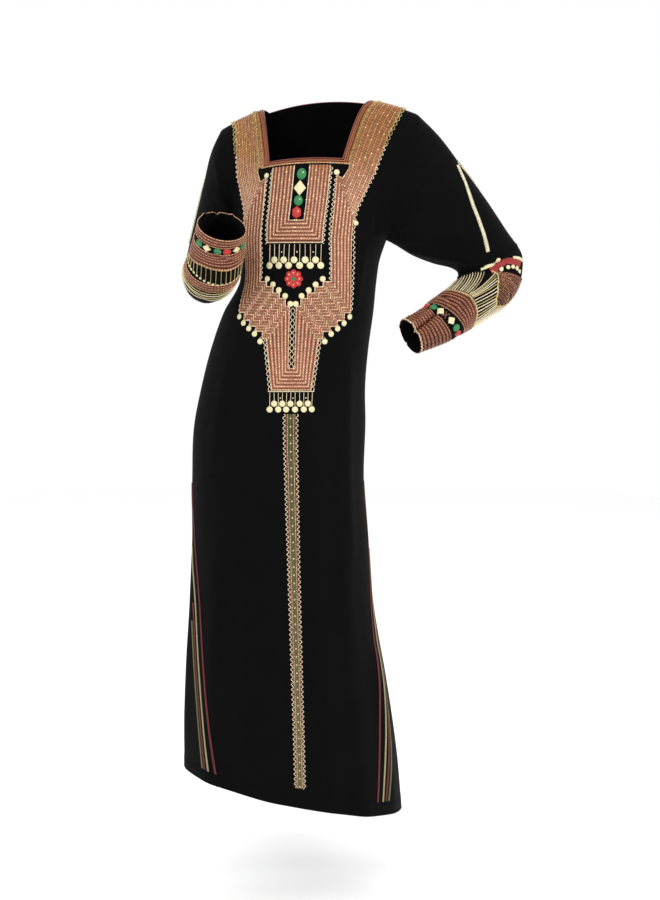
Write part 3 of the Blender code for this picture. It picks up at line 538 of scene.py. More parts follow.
# %% Fine charts of the creased cloth
class Chart:
    """A surface kept as a fine grid of places and outward directions."""

    def __init__(self, first, second, surface, rise, outward):
        self.first, self.second, self.outward = first, second, outward
        u, v = np.meshgrid(first, second, indexing="ij")
        plain = surface(u, v)
        creased = plain + self.facing(plain) * rise(u, v)[..., None]
        self.grid = np.concatenate([creased, self.facing(creased)], axis=-1)

    def facing(self, points):
        first_way, second_way = np.gradient(points, axis=0), np.gradient(points, axis=1)
        return self.outward * unit(np.cross(first_way, second_way))

    def at(self, u, v):
        u, v = np.broadcast_arrays(np.asarray(u, float), np.asarray(v, float))
        i = np.interp(u, self.first, np.arange(len(self.first)))
        j = np.interp(v, self.second, np.arange(len(self.second)))
        low_i = np.minimum(i.astype(int), len(self.first) - 2)
        low_j = np.minimum(j.astype(int), len(self.second) - 2)
        i, j = (i - low_i)[..., None], (j - low_j)[..., None]
        found = ((self.grid[low_i, low_j] * (1 - i) + self.grid[low_i + 1, low_j] * i) * (1 - j)
                 + (self.grid[low_i, low_j + 1] * (1 - i) + self.grid[low_i + 1, low_j + 1] * i) * j)
        return found[..., :3], unit(found[..., 3:])


BODY_SHARES = np.linspace(-1, 1, 281)
BODY_HEIGHTS = np.concatenate([np.linspace(HEM - 0.004, UNDERARM, 361),
                               np.linspace(UNDERARM, TOP, 121)[1:]])
SLEEVE_ANGLES = np.radians(np.linspace(-200, 200, 241))
body = {face: Chart(BODY_SHARES, BODY_HEIGHTS,
                    lambda s, h, face=face: drawn_body(face, s, h),
                    lambda s, h, face=face: body_rise(face, s, h), face) for face in (1, -1)}
arms = {side: Chart(np.linspace(0, SLEEVE_END[side], 30 * SLEEVE_END[side] + 1), SLEEVE_ANGLES,
                    lambda a, t, side=side: plain_sleeve(side, a, t),
                    lambda a, t, side=side: sleeve_rise(side, a, t), -sign)
        for side, sign in SIDE_SIGN.items()}


def on_body(length, height, face=1):
    """Place and outward direction on the body, from its chart."""
    length, height = np.broadcast_arrays(np.asarray(length, float), np.asarray(height, float))
    return body[face].at(np.clip(length / half_length(height, length), -1, 1), height)


def on_sleeve(side, along, degrees):
    turned = (np.asarray(degrees, float) + 180) % 360 - 180
    return arms[side].at(along, np.radians(turned))


print("centre of the chest:", on_body(0.0, -0.2)[0].round(3))

# %% [markdown]
# Shader maths in plain expressions
# Every finish below is procedural. A wave or noise is a number for each place, and
# a finish is arithmetic on such numbers. The small class wraps a node's socket, so
# that 1 - mask or stripes * 0.5 writes the Math nodes by itself.

# %% Finishes as expressions
class Value:
    """A number for each place of a surface."""

    def __init__(self, recipe, socket):
        self.recipe, self.socket = recipe, socket

    def math(self, operation, *others):
        inputs = dict(enumerate((self, *others)))
        return self.recipe.node("ShaderNodeMath", {"operation": operation}, inputs)

    def __add__(self, other):
        return self.math("ADD", other)

    def __mul__(self, other):
        return self.math("MULTIPLY", other)

    def __sub__(self, other):
        return self.math("SUBTRACT", other)

    def __rsub__(self, other):
        return self * -1.0 + other

    __radd__ = __add__
    __rmul__ = __mul__

    def sine(self):
        return self.math("SINE")

    def clamped(self):
        return self.math("MAXIMUM", 0.0).math("MINIMUM", 1.0)


print("expressions ready")

# %% [markdown]
# A recipe for a finish
# A recipe opens a new material and adds the nodes that a finish asks for. They all
# come from one method, which takes a node's type, its settings and what feeds its
# sockets. So each finish below is a few lines of arithmetic, and no node is set by
# hand.

# %% Recipes
class Recipe:
    """A material under construction."""

    def __init__(self, name, roughness, metallic=0.0, sheen=0.0, coat=0.0, specular=0.5):
        self.material = bpy.data.materials.new(name)
        self.material.use_nodes = True
        self.tree = self.material.node_tree
        self.shader = self.tree.nodes["Principled BSDF"]
        fixed = {"Roughness": roughness, "Metallic": metallic, "Sheen Weight": sheen,
                 "Coat Weight": coat, "Specular IOR Level": specular}
        for key, amount in fixed.items():
            self.shader.inputs[key].default_value = amount

    def feed(self, socket, given):
        """Link a value to a socket, or set the socket to a plain number or colour."""
        if isinstance(given, Value):
            self.tree.links.new(given.socket, socket)
        else:
            socket.default_value = given

    def node(self, kind, settings, inputs, output=0):
        made = self.tree.nodes.new(kind)
        for key, setting in settings.items():
            setattr(made, key, setting)
        for key, given in inputs.items():
            self.feed(made.inputs[key], given)
        return Value(self, made.outputs[output])

    def axis(self, vector, index):
        return self.node("ShaderNodeSeparateXYZ", {}, {0: vector}, index)

    def place(self):
        return self.node("ShaderNodeTexCoord", {}, {}, "Object")

    def chart(self):
        """Two numbers of the piece's own map: across and along, in metres."""
        laid = self.node("ShaderNodeUVMap", {"uv_map": "laid"}, {})
        return self.axis(laid, 0), self.axis(laid, 1)

    def noise(self, scale, detail=2.0):
        sockets = {"Vector": self.place(), "Scale": scale, "Detail": detail}
        return self.node("ShaderNodeTexNoise", {}, sockets, "Fac")

    def blend(self, mask, first, second):
        """Colour that goes from first to second as mask goes from 0 to 1."""
        sockets = {0: mask, 6: first, 7: second}
        return self.node("ShaderNodeMix", {"data_type": "RGBA"}, sockets, 2)

    def finish(self, colour, bump=None, height=0.0, roughness=None):
        """The finished material. Height is the depth of the bump in metres."""
        self.feed(self.shader.inputs["Base Color"], colour)
        if roughness is not None:
            self.feed(self.shader.inputs["Roughness"], roughness)
        if bump is not None:
            sockets = {"Height": bump, "Distance": height, "Strength": 1.0}
            self.feed(self.shader.inputs["Normal"], self.node("ShaderNodeBump", {}, sockets))
        return self.material


print("recipes ready")

# %% [markdown]
# Black crepe
# Crepe is woven from hard-twisted yarn, which makes it dull and finely pebbled. Two
# crossed sine waves along warp and weft give the weave, noise breaks them into
# pebbles, and a little sheen lifts the folds as brushed fibres do.

# %% Crepe and ground cloths
def cloth_finish(name, dark, light, yarn=0.0011):
    """Pebbled weave. Yarn is the length of one wave of the weave."""
    made = Recipe(name, 0.78, sheen=0.02, specular=0.035)
    made.shader.inputs["Sheen Roughness"].default_value = 0.45
    across, along = made.chart()
    turns = 2 * math.pi / yarn
    weave = (across * turns).sine() * (along * turns).sine()
    pebble = made.noise(900.0, 3.0)
    tone = made.noise(14.0, 3.0) * 0.5 + weave * 0.15 + pebble * 0.5
    return made.finish(made.blend(tone, dark, light), weave * 0.3 + pebble, 0.00035)


crepe = cloth_finish("black_crepe", (0.0012, 0.0011, 0.0013, 1), (0.0038, 0.0036, 0.0038, 1))
ground = cloth_finish("brown_ground", (0.050, 0.015, 0.009, 1), (0.095, 0.030, 0.017, 1), 0.0014)
print("cloths:", crepe.name, ground.name)

# %% [markdown]
# Cords and satin stitch
# Couching lays a thick cord on the cloth and ties it down with fine thread. The
# cord's own map has its way across and its length along, so a twist is a slanted
# stripe. Satin stitch is rows of parallel thread, which shine along the row.

# %% Finishes of cords
# Height where the painted shade of the straps begins, and how fast it deepens upwards.
STRAP_SHADE_TURN = -0.17
STRAP_SHADE_SPEED = 12.0


def cord_finish(name, dark, light, pitch=0.0042, slant=0.9, rough=0.45, metal=0.12,
                high=None, worn=0.7):
    """Twisted cord with slanted strands. High is a darker, oranger pair of colours used near the shoulders: painted
    shade and colour cast of the light on the straps. Worn weights the noise in the tone; the threads' heavy weight
    paints broken highlights along the cord.
    """
    made = Recipe(name, rough, metallic=metal)
    across, along = made.chart()
    strand = ((along + across * slant) * (2 * math.pi / pitch)).sine() * 0.5 + 0.5
    uneven = made.noise(160.0)
    # Noise mottles the tone. At the threads' heavy weight it paints bright dashes with dark gaps: broken highlights
    # along the thread.
    tone = (strand * 0.65 + uneven * worn + (0.2 - worn / 2)).clamped()
    colour = made.blend(tone, dark, light)
    # Painted shade: towards the shoulders the colour blends to the darker, oranger pair, the light's shade and colour
    # cast on the straps.
    if high:
        up = ((made.axis(made.place(), 2) - STRAP_SHADE_TURN) * STRAP_SHADE_SPEED).clamped()
        colour = made.blend(up, colour, made.blend(tone, *high))
    return made.finish(colour, strand, 0.0003, roughness=uneven * 0.2 + (rough - 0.1))


def tape_finish(name, dark, light):
    return cord_finish(name, dark, light, rough=0.75, metal=0.0)


# The second pairs of copper and pale are painted shade and colour cast for the straps.
copper = cord_finish("copper_cord", (0.095, 0.024, 0.012, 1), (0.46, 0.163, 0.080, 1),
                     high=((0.080, 0.021, 0.006, 1), (0.38, 0.118, 0.030, 1)))
maroon = cord_finish("maroon_cord", (0.034, 0.006, 0.003, 1), (0.24, 0.049, 0.022, 1))
# Pale and dim threads take a heavy mottle: painted broken highlights along each thread.
pale = cord_finish("pale_thread", (0.32, 0.15, 0.08, 1), (0.96, 0.73, 0.48, 1), 0.0056, 0.5,
                   high=((0.19, 0.078, 0.022, 1), (0.72, 0.43, 0.15, 1)), worn=1.3)
dim_thread = cord_finish("dim_thread", (0.16, 0.050, 0.022, 1), (0.80, 0.48, 0.25, 1), 0.0056,
                         0.5, worn=1.3)
cream_cord = cord_finish("cream_cord", (0.48, 0.38, 0.22, 1), (0.93, 0.82, 0.60, 1), 0.0026, 0.8)
gold = cord_finish("gold_cord", (0.23, 0.17, 0.045, 1), (0.72, 0.60, 0.28, 1), 0.0024, 0.8,
                   0.36, 0.45)
olive = cord_finish("olive_cord", (0.035, 0.040, 0.010, 1), (0.150, 0.155, 0.042, 1), 0.0030)
rope = cord_finish("rope_braid", (0.07, 0.055, 0.018, 1), (0.92, 0.86, 0.60, 1), 0.0060, 1.3,
                   0.36, 0.3)
tape_red = tape_finish("red_tape", (0.050, 0.004, 0.005, 1), (0.170, 0.014, 0.013, 1))
tape_cream = tape_finish("cream_tape", (0.130, 0.125, 0.055, 1), (0.42, 0.41, 0.22, 1))
tape_olive = tape_finish("olive_tape", (0.040, 0.045, 0.014, 1), (0.17, 0.18, 0.065, 1))
print("cords and tapes so far:", len(bpy.data.materials))

# %% Finishes of satin stitch and sequins
STITCH = 0.0009


def satin_finish(name, dark, light):
    """Satin stitch: fine parallel threads, from edge to edge."""
    made = Recipe(name, 0.42, sheen=0.05, specular=0.45)
    across, _ = made.chart()
    thread = (across * (2 * math.pi / STITCH)).sine() * 0.5 + 0.5
    uneven = made.noise(240.0)
    tone = (thread * 0.55 + uneven * 0.6 - 0.05).clamped()
    return made.finish(made.blend(tone, dark, light), thread, 0.00022,
                       roughness=uneven * 0.25 + 0.30)


cream = satin_finish("cream_satin", (0.56, 0.48, 0.24, 1), (0.86, 0.79, 0.50, 1))
green = satin_finish("green_satin", (0.004, 0.095, 0.028, 1), (0.02, 0.27, 0.078, 1))
red = satin_finish("red_satin", (0.25, 0.007, 0.007, 1), (0.62, 0.024, 0.017, 1))
deep_red = satin_finish("deep_red_satin", (0.15, 0.005, 0.005, 1), (0.42, 0.015, 0.013, 1))
metal = Recipe("sequin", 0.30, metallic=0.7, coat=0.2)
sequin = metal.finish(metal.blend(metal.noise(220.0), (0.62, 0.42, 0.24, 1), (0.90, 0.74, 0.52, 1)))
print("finishes:", len(bpy.data.materials))

# %% [markdown]
# One way to make a sewn-on piece
# Work gathers points, faces and their own map, and makes one closed object of them.
# It rides on the dress and stands for the plain solids that it covers.

# %% Gather and make
SHARP = math.radians(50)


class Work:
    """What one piece is made of: points, faces, the map of their corners, and finishes."""

    def __init__(self):
        self.points, self.faces, self.spots, self.kinds = [], [], [], []
        self.finishes, self.count = [], 0

    def add(self, points, faces, spots, finish):
        """Faces list points from 0, spots give the map of each corner of each face."""
        if finish not in self.finishes:
            self.finishes.append(finish)
        self.points.append(np.asarray(points, float).reshape(-1, 3))
        self.faces += [tuple(int(i) + self.count for i in face) for face in faces]
        self.spots.append(np.asarray(spots, float).reshape(-1, 2))
        self.kinds += [self.finishes.index(finish)] * len(faces)
        self.count += len(self.points[-1])

    def make(self, name, nodes=(), slot=None):
        mesh = bpy.data.meshes.new(name)
        mesh.from_pydata(np.vstack(self.points).tolist(), [], self.faces)
        laid = mesh.uv_layers.new(name="laid")
        laid.data.foreach_set("uv", np.vstack(self.spots).astype(np.float32).ravel())
        for finish in self.finishes:
            mesh.materials.append(finish)
        mesh.polygons.foreach_set("material_index", np.array(self.kinds, np.int32))
        mesh.shade_smooth()
        mesh.set_sharp_from_angle(angle=SHARP)
        mesh.update()
        made = bpy.data.objects.new(name, mesh)
        bpy.context.scene.collection.objects.link(made)
        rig.ride(made, "root")
        if nodes:
            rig.replaces(made, *nodes)
        if slot:
            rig.slot(made, slot)
        print(f"{name}: {sum(len(face) - 2 for face in self.faces)} triangles")
        return made


# %% [markdown]
# The cloth pieces
# Each panel is a thin closed shell: an outer and an inner face about 0.9 mm apart,
# joined along every raw edge. Rows and columns crowd together beside a seam, where
# the cloth dips to the stitches.

# %% A shell from a grid of places
CLOTH = 0.0009
SEAM_PLACES = np.array([0, 0.0007, 0.0018, 0.0038, 0.0075])
SEAM_REACH = 0.02


def shell(work, points, out, chart, finish, kept=None, closed=False, flip=False, thick=CLOTH):
    """Both faces and the rims of a grid. Kept says which of its squares are cloth."""
    rows, columns = points.shape[:2]
    count = rows * columns
    wide = columns if closed else columns - 1
    row, column = np.meshgrid(np.arange(rows - 1), np.arange(wide), indexing="ij")
    row, column = row.ravel(), column.ravel()
    if kept is not None:
        stay = kept(row, column)
        row, column = row[stay], column[stay]
    beside = (column + 1) % columns
    quads = np.stack([row * columns + column, row * columns + beside,
                      (row + 1) * columns + beside, (row + 1) * columns + column], axis=1)
    spots = np.stack([chart[row, column], chart[row, column + 1],
                      chart[row + 1, column + 1], chart[row + 1, column]], axis=1)
    if flip:
        quads, spots = quads[:, ::-1], spots[:, ::-1]
    sides = {}
    for quad, spot in zip(quads.tolist(), spots):
        for corner in range(4):
            after = (corner + 1) % 4
            sides[(quad[corner], quad[after])] = (spot[corner], spot[after])
    rims, rim_spots = [], []
    for (a, b), (first, second) in sides.items():
        if (b, a) not in sides:
            rims.append((b, a, a + count, b + count))
            rim_spots.append((second, first, first, second))
    flat = points.reshape(-1, 3)
    inner = flat - out.reshape(-1, 3) * thick
    used = np.unique(quads)
    renumber = np.full(2 * count, -1)
    renumber[used] = np.arange(len(used))
    renumber[used + count] = np.arange(len(used)) + len(used)
    faces = np.vstack([quads, quads[:, ::-1] + count, np.array(rims)])
    spots = np.vstack([spots.reshape(-1, 2), spots[:, ::-1].reshape(-1, 2),
                       np.array(rim_spots).reshape(-1, 2)])
    work.add(np.vstack([flat[used], inner[used]]), renumber[faces], spots, finish)


def crowded(start, end, count, width):
    """Shares of a width from start to end, closer together beside both ends."""
    long = abs(end - start)
    close = SEAM_PLACES / width * min(1, long * width / SEAM_REACH)
    inside = np.linspace(close[-1], long - close[-1], count)
    return start + np.sign(end - start) * np.concatenate([close[:-1], inside, long - close[-2::-1]])


def seam_dip(distance, deep=0.0007, width=0.0016):
    return -deep * np.exp(-(distance / width) ** 2)


print("places across 0.2 m:", len(crowded(0, 1, 30, 0.2)))

# %% Rows and edges of the panels
NECK_LOW = UNDERARM + UPPER_LENGTH * 0.5
BACK_NECK_LOW = UNDERARM + UPPER_LENGTH * 0.9
TURN_UP = 0.0239
TURN_UP_RISE = 0.0005
HEM_ROWS = HEM + np.array([0.0, 0.0008, 0.004, 0.012, 0.0235, 0.0243])
LOW_ROWS = np.concatenate([HEM_ROWS, np.linspace(HEM + 0.032, GORE_TOP, 70),
                           np.linspace(GORE_TOP, UNDERARM, 62)[1:-1]])
UP_ROWS = UNDERARM + UPPER_LENGTH * np.linspace(0, 1, 61)
SHOULDER_ROWS = TOP - np.array([0.0018, 0.0007, 0.0001])
PANEL_ROWS = np.concatenate([LOW_ROWS, UP_ROWS[:-1], SHOULDER_ROWS])


def gore_share(height):
    """Where the gore's seam is, as a share of the way from centre front to side."""
    down = np.clip((GORE_TOP - height) / (GORE_TOP - HEM), 0, 1)
    return 1 - (1 - GORE_HEM_SHARE) * down ** GORE_CURVE


def neck_share(height):
    up = np.clip((height - NECK_LOW) / (TOP - NECK_LOW), 0, 1)
    low = NECK_HALF_LOW / SHOULDER_HALF
    return low + (NECK_HALF_HIGH / SHOULDER_HALF - low) * up


def neck_edge(height, side):
    return neck_share(height) * half_length(height, side)


def body_cloth(face, shares, heights, seams):
    """Points of a panel, dipped by its distance to the seams beside it."""
    points, out = body[face].at(shares, heights)
    turned_up = TURN_UP_RISE * (heights < HEM + TURN_UP)
    rise = sum(seam_dip(gap) for gap in seams) + turned_up
    return points + out * rise[..., None], out


print("rows of a panel:", len(PANEL_ROWS))

# %% [markdown]
# Front and back
# Each is cut in one from hem to shoulders, with a square hole for the neck. The grid
# covers the hole too, and its squares there are left out, so the neck's corners stay
# sharp. The back is the same cut with a much shallower neck.

# %% Front and back panels
SIDE_COLUMNS = 34
NECK_COLUMNS = 29
SEAM_GAP = 0.00008


def panel(name, face, neck_low):
    rows = []
    for height in PANEL_ROWS:
        wide = half_length(height, 1)
        neck, edge = neck_share(height), gore_share(height) - SEAM_GAP / wide
        right = crowded(-edge, -neck, SIDE_COLUMNS, wide)
        middle = np.linspace(-neck, neck, NECK_COLUMNS + 2)[1:-1]
        rows.append(np.concatenate([right, middle, -right[::-1]]))
    shares = np.array(rows)
    heights = np.repeat(PANEL_ROWS[:, None], shares.shape[1], axis=1)
    wide = half_length(heights, shares)
    side_gap = (gore_share(heights) - np.abs(shares)) * wide
    points, out = body_cloth(face, shares, heights, (side_gap, TOP - heights))
    side = (shares.shape[1] - NECK_COLUMNS) // 2
    top = int(np.argmin(np.abs(PANEL_ROWS - neck_low)))
    work = Work()
    shell(work, points, out, np.stack([shares * wide, heights], axis=-1), crepe,
          lambda row, column: (row < top) | (column < side - 1) | (column >= side + NECK_COLUMNS),
          flip=face < 0)
    return work.make(name + "_cloth", [name], "black_crepe")


CLOTHS = {"front": panel("front", 1, NECK_LOW), "back": panel("back", -1, BACK_NECK_LOW)}

# %% [markdown]
# Gores
# A gore is a long triangle let into the side seam, and it gives the hem its sweep. It
# runs round the side from the front's edge to the back's, so each of its rows is
# half in the front chart and half in the back one.

# %% Side gores
GORE_COLUMNS = 16
GORE_POINT = GORE_TOP - 0.006
GORE_ROWS = np.append(LOW_ROWS[LOW_ROWS < GORE_POINT - 0.001], GORE_POINT)


def gore(side):
    sign = SIDE_SIGN[side]
    points, outs, charts = [], [], []
    for height in GORE_ROWS:
        wide = float(half_length(height, sign))
        seam = float(gore_share(height))
        ahead = crowded(seam + SEAM_GAP / wide, 1.0, GORE_COLUMNS, wide)
        for face, shares in ((1, ahead), (-1, ahead[::-1][1:])):
            level = height + 0 * shares
            place, out = body_cloth(face, shares * sign, level, ((shares - seam) * wide,))
            turn = shares if face > 0 else 2 - shares
            points.append(place)
            outs.append(out)
            charts.append(np.stack([turn * wide * sign, level], axis=-1))
    grid = [np.vstack(part).reshape(len(GORE_ROWS), 2 * len(ahead) - 1, -1)
            for part in (points, outs, charts)]
    work = Work()
    shell(work, *grid, crepe, flip=sign < 0)
    return work.make("gore_" + side + "_cloth", ["gore_" + side], "black_crepe")


CLOTHS.update({"gore_" + side: gore(side) for side in SIDE_SIGN})

# %% [markdown]
# Sleeves
# A sleeve is two tubes that meet in a seam at the elbow: the wide black one and the
# forearm, which the couching stiffens. Rings of 120 places are close enough for the
# deep crease of the left cuff, and the couched rings later use the same places.

# %% Sleeves
AROUND = 120
SLEEVE_ROWS = 72
SEAM_ROWS = np.array([0, 0.015, 0.035, 0.07])
ROW_LENGTH = 0.06
ARM_RADIUS = 0.06
ARMHOLE_START, ELBOW_GAP = 0.004, 0.001


def sleeve(name, side, start, end):
    along = np.concatenate([start + SEAM_ROWS, np.linspace(start, end, SLEEVE_ROWS)[1:-1],
                            end - SEAM_ROWS[::-1]])
    along = np.unique(np.round(along, 4))
    full = np.arange(AROUND + 1) * 2 * math.pi / AROUND
    places, turns = np.meshgrid(along, full[:-1], indexing="ij")
    points, out = on_sleeve(side, places, np.degrees(turns))
    dip = seam_dip((places - start) * ROW_LENGTH)
    if end < SLEEVE_END[side]:
        dip = dip + seam_dip((end - places) * ROW_LENGTH)
    grid = np.meshgrid(along * SLEEVE_SCALE[0], full * ARM_RADIUS, indexing="ij")
    work = Work()
    shell(work, points + out * dip[..., None], out, np.stack(grid, axis=-1), crepe,
          closed=True, flip=SIDE_SIGN[side] < 0)
    return work.make(name + "_cloth", [name], "black_crepe")


for side, seam in ELBOW_SEAM.items():
    for name, start, end in (("sleeve_" + side, ARMHOLE_START, seam - ELBOW_GAP),
                             ("forearm_" + side, seam + ELBOW_GAP, SLEEVE_END[side])):
        CLOTHS[name] = sleeve(name, side, start, end)

# %% [markdown]
# Laying a cord
# A couched cord follows a line drawn on the cloth. Its section is half round, flat
# where it meets the cloth, and its corners are mitred as a worker folds the cord.
# It could be a curve with a bevel, but a curve twists at sharp corners, so the
# section is set from the cloth's outward direction.

# %% Lines on the cloth
MITRE_LIMIT = 0.55


def along_line(corners, step, scale=(1, 1)):
    """Places along straight lines between corners of a chart, corners kept."""
    corners = np.asarray(corners, float)
    found = [corners[:1]]
    for a, b in zip(corners[:-1], corners[1:]):
        count = max(1, math.ceil(np.linalg.norm((b - a) * scale) / step))
        found.append(a + (b - a) * np.arange(1, count + 1)[:, None] / count)
    return np.vstack(found)


def body_line(corners, step=0.005, face=1):
    """Points of the cloth along a line, and the outward direction at each."""
    dense = along_line(corners, step)
    return on_body(dense[:, 0], dense[:, 1], face)


def sleeve_line(side, corners):
    dense = along_line(corners, 0.004, SLEEVE_SCALE)
    return on_sleeve(side, dense[:, 0], dense[:, 1])


def both_halves(side, corners):
    """The same line on the shown half and on the hidden half of a sleeve."""
    return [sleeve_line(side, np.asarray(corners, float) * (1, sign)) for sign in (1, -1)]


def mirrored(corners, sign):
    return np.asarray(corners, float) * (sign, 1)


def sides_of(line, closed=False):
    """Direction across a line at each of its points, longer where it turns."""
    points, out = line
    ways = np.roll(points, -1, axis=0) - points
    aside = unit(np.cross(out + np.roll(out, -1, axis=0), ways))
    if not closed:
        aside[-1] = aside[-2]
    before = np.roll(aside, 1, axis=0)
    if not closed:
        before[0] = aside[0]
    mitre = unit(before + aside)
    return mitre / np.maximum((mitre * aside).sum(axis=-1, keepdims=True), MITRE_LIMIT)


def weave_line(line, reach, pitch, phase=0.0):
    """The same line swinging from side to side, for zigzag cords."""
    points, out = line
    long = np.linalg.norm(np.diff(points, axis=0), axis=1)
    far = np.concatenate([[0], np.cumsum(long)])
    swing = reach * np.sin(2 * math.pi * far / pitch + phase)
    return points + unit(sides_of(line)) * swing[:, None], out


print("points on a 0.1 m cord:", len(along_line([(0, 0), (0, 0.1)], 0.005)))

# %% A cord along a line
ARCH = np.arange(5) * math.pi / 4
CORD_SUNK = 0.0003
CORD_WRAP = 0.35


def lay(work, line, width, rise, finish, base=0.0, closed=False):
    """A half-round cord. Its flat side lies at base above the cloth, its feet sink in."""
    points, out = line
    count = len(points)
    aside = sides_of(line, closed)
    up = np.where(np.sin(ARCH) > 0.1, base + rise * np.sin(ARCH), base - CORD_SUNK)
    ring = (points[:, None] + aside[:, None] * (np.cos(ARCH) * width / 2)[None, :, None]
            + out[:, None] * up[None, :, None])
    i, j = np.meshgrid(np.arange(count if closed else count - 1), np.arange(5), indexing="ij")
    i, j = i.ravel(), j.ravel()
    after, beside = (i + 1) % count, (j + 1) % 5
    quads = np.stack([i * 5 + j, i * 5 + beside, after * 5 + beside, after * 5 + j], axis=1)
    long = np.linalg.norm(np.roll(points, -1, axis=0) - points, axis=1)
    far = np.concatenate([[0], np.cumsum(long)])
    u = np.array([j, j + 1, j + 1, j]).T * width * CORD_WRAP
    v = np.array([far[i], far[i], far[i + 1], far[i + 1]]).T
    spots = np.stack([u, v], axis=-1).reshape(-1, 2)
    faces = quads.tolist()
    if not closed:
        faces += [[4, 3, 2, 1, 0], [(count - 1) * 5 + j for j in range(5)]]
        spots = np.vstack([spots, np.zeros((10, 2))])
    work.add(ring, faces, spots, finish)


print("corners of a cord's section:", len(ARCH))

# %% [markdown]
# Padded motifs, modelled once
# Discs, stones and petals are satin stitch over a pad. Each begins as a circle
# primitive, its face is extruded up and drawn in a few times to a low cushion, and
# copies are then set on the cloth. A copy that spans a curve or a crease is bent to
# follow the cloth, as soft stitching does.

# %% A cushion from a circle
def in_order(points, faces):
    """The same mesh numbered ring by ring, because edit mode leaves it in any order."""
    turns = (np.arctan2(points[:, 1], points[:, 0]) + 0.01) % (2 * math.pi)
    order = np.lexsort((turns.round(3), points[:, 2].round(4)))
    rank = np.argsort(order).tolist()
    return points[order], sorted(tuple(rank[i] for i in face) for face in faces)


def cushion(corners, rings, wide=1.0, tall=1.0, shift=0.0, sunk=0.06):
    """Points, faces and face corners. Rings are shares of the width, and heights."""
    bpy.ops.object.select_all(action="DESELECT")
    bpy.ops.mesh.primitive_circle_add(vertices=corners, radius=1.0, fill_type="NGON")
    bpy.ops.object.mode_set(mode="EDIT")
    bpy.ops.mesh.select_all(action="SELECT")
    drawn, height = 1.0, -sunk
    bpy.ops.transform.translate(value=(0, 0, height))
    for reach, rise in rings:
        bpy.ops.mesh.extrude_region_move(TRANSFORM_OT_translate={"value": (0, 0, rise - height)})
        bpy.ops.transform.resize(value=(reach / drawn, reach / drawn, 1))
        drawn, height = reach, rise
    bpy.ops.mesh.select_all(action="SELECT")
    bpy.ops.mesh.normals_make_consistent(inside=False)
    bpy.ops.object.mode_set(mode="OBJECT")
    made = bpy.context.object
    points, faces = in_order(np.array([tuple(v.co) for v in made.data.vertices]),
                             [tuple(p.vertices) for p in made.data.polygons])
    bpy.data.objects.remove(made, do_unlink=True)
    points = points * (wide, tall, 1) + (0, shift, 0)
    return points, faces, np.concatenate([points[list(face), :2] for face in faces])


disc = cushion(14, ((1.0, 0.16), (0.86, 0.30), (0.5, 0.40)))
bead = cushion(12, ((1.0, 0.12), (0.84, 0.26), (0.4, 0.34)))
spangle = cushion(7, ((1.0, 0.10), (0.55, 0.22)))
diamond = cushion(4, ((1.0, 0.12), (0.82, 0.28), (0.4, 0.36)))
petal = cushion(10, ((1.0, 0.10), (0.8, 0.22), (0.4, 0.28)), 0.36, 0.46, 0.56)
print("faces of a disc:", len(disc[1]))

# %% Copies on the cloth
UPWARD = np.array([0.0, 0.0, 1.0])
BODY_GRAIN = (0.002, 0.002)
SLEEVE_GRAIN = (0.03, 2.0)


def copies(work, model, line, ways, size, finish, base=0.0):
    """Flat copies, each turned to the cloth and to a way along it."""
    shape, faces, corners = model
    points, out = line
    for place, facing, way in zip(points, out, np.broadcast_to(ways, points.shape)):
        up = unit(way - facing * np.dot(way, facing))
        turned = np.array([np.cross(up, facing), up, facing])
        work.add(place + facing * base + shape * size @ turned, faces, corners * size, finish)


def bent(work, model, surface, spot, grain, along_arm, size, finish, base):
    """A copy that follows the cloth. Grain is a small step of the chart each way."""
    shape, faces, corners = model
    place, facing = surface(*spot)
    first = surface(spot[0] + grain[0], spot[1])[0] - place
    second = surface(spot[0], spot[1] + grain[1])[0] - place
    up = -unit(first) if along_arm else unit(UPWARD - facing * facing[2])
    flat = shape[:, :2] * size @ np.array([np.cross(up, facing), up])
    steps = np.linalg.lstsq(np.stack([first, second], axis=1), flat.T, rcond=None)[0]
    points, out = surface(spot[0] + steps[0] * grain[0], spot[1] + steps[1] * grain[1])
    work.add(points + out * (shape[:, 2:] * size + base), faces, corners * size, finish)


def body_copies(work, model, spots, size, finish, base=0.0):
    for spot in spots:
        bent(work, model, on_body, spot, BODY_GRAIN, False, size, finish, base)


def sleeve_copies(work, model, side, spots, size, finish):
    """Copies on the shown half and on the hidden half of a sleeve."""
    def surface(along, degrees):
        return on_sleeve(side, along, degrees)

    for along, degrees in spots:
        for turn in (degrees, -degrees):
            bent(work, model, surface, (along, turn), SLEEVE_GRAIN, True, size, finish, 0.0)


print("copies ready")

# %% [markdown]
# The yoke
# Straps, side strips, V and tail are one field of cords. They run side by side from
# the shoulders, turn at a mitre under the neck's corners, step down the V as stairs,
# and close in nested U shapes at the foot of the tail. So two outlines are drawn
# with matching corners, the inner and the outer, and every cord is a blend of them.

# %% Edges of the yoke
YOKE_OUTER = np.array([(-0.2600, 0.120), (-0.2277, 0.1205), (-0.1953, 0.123), (-0.1629, 0.131),
                       (-0.1280, 0.146), (-0.1220, 0.149), (-0.1110, 0.153)])
STRAP_LOW, STRAP_LOW_HALF = YOKE_OUTER[-1]
STRAP_TOP_HALF = 0.178
EDGE = 0.0030
LEAN, LEAN_LOW, LEAN_HIGH = 0.08, (-0.30, 0.08), 0.10
NECK_ROOM = 0.0100
CORNER_TOP = -0.115
CORNER_END = 0.0925
LATTICE_FOOT = 0.0735
LEAST_INSET, INSET_GROWTH = 0.0140, 0.0055


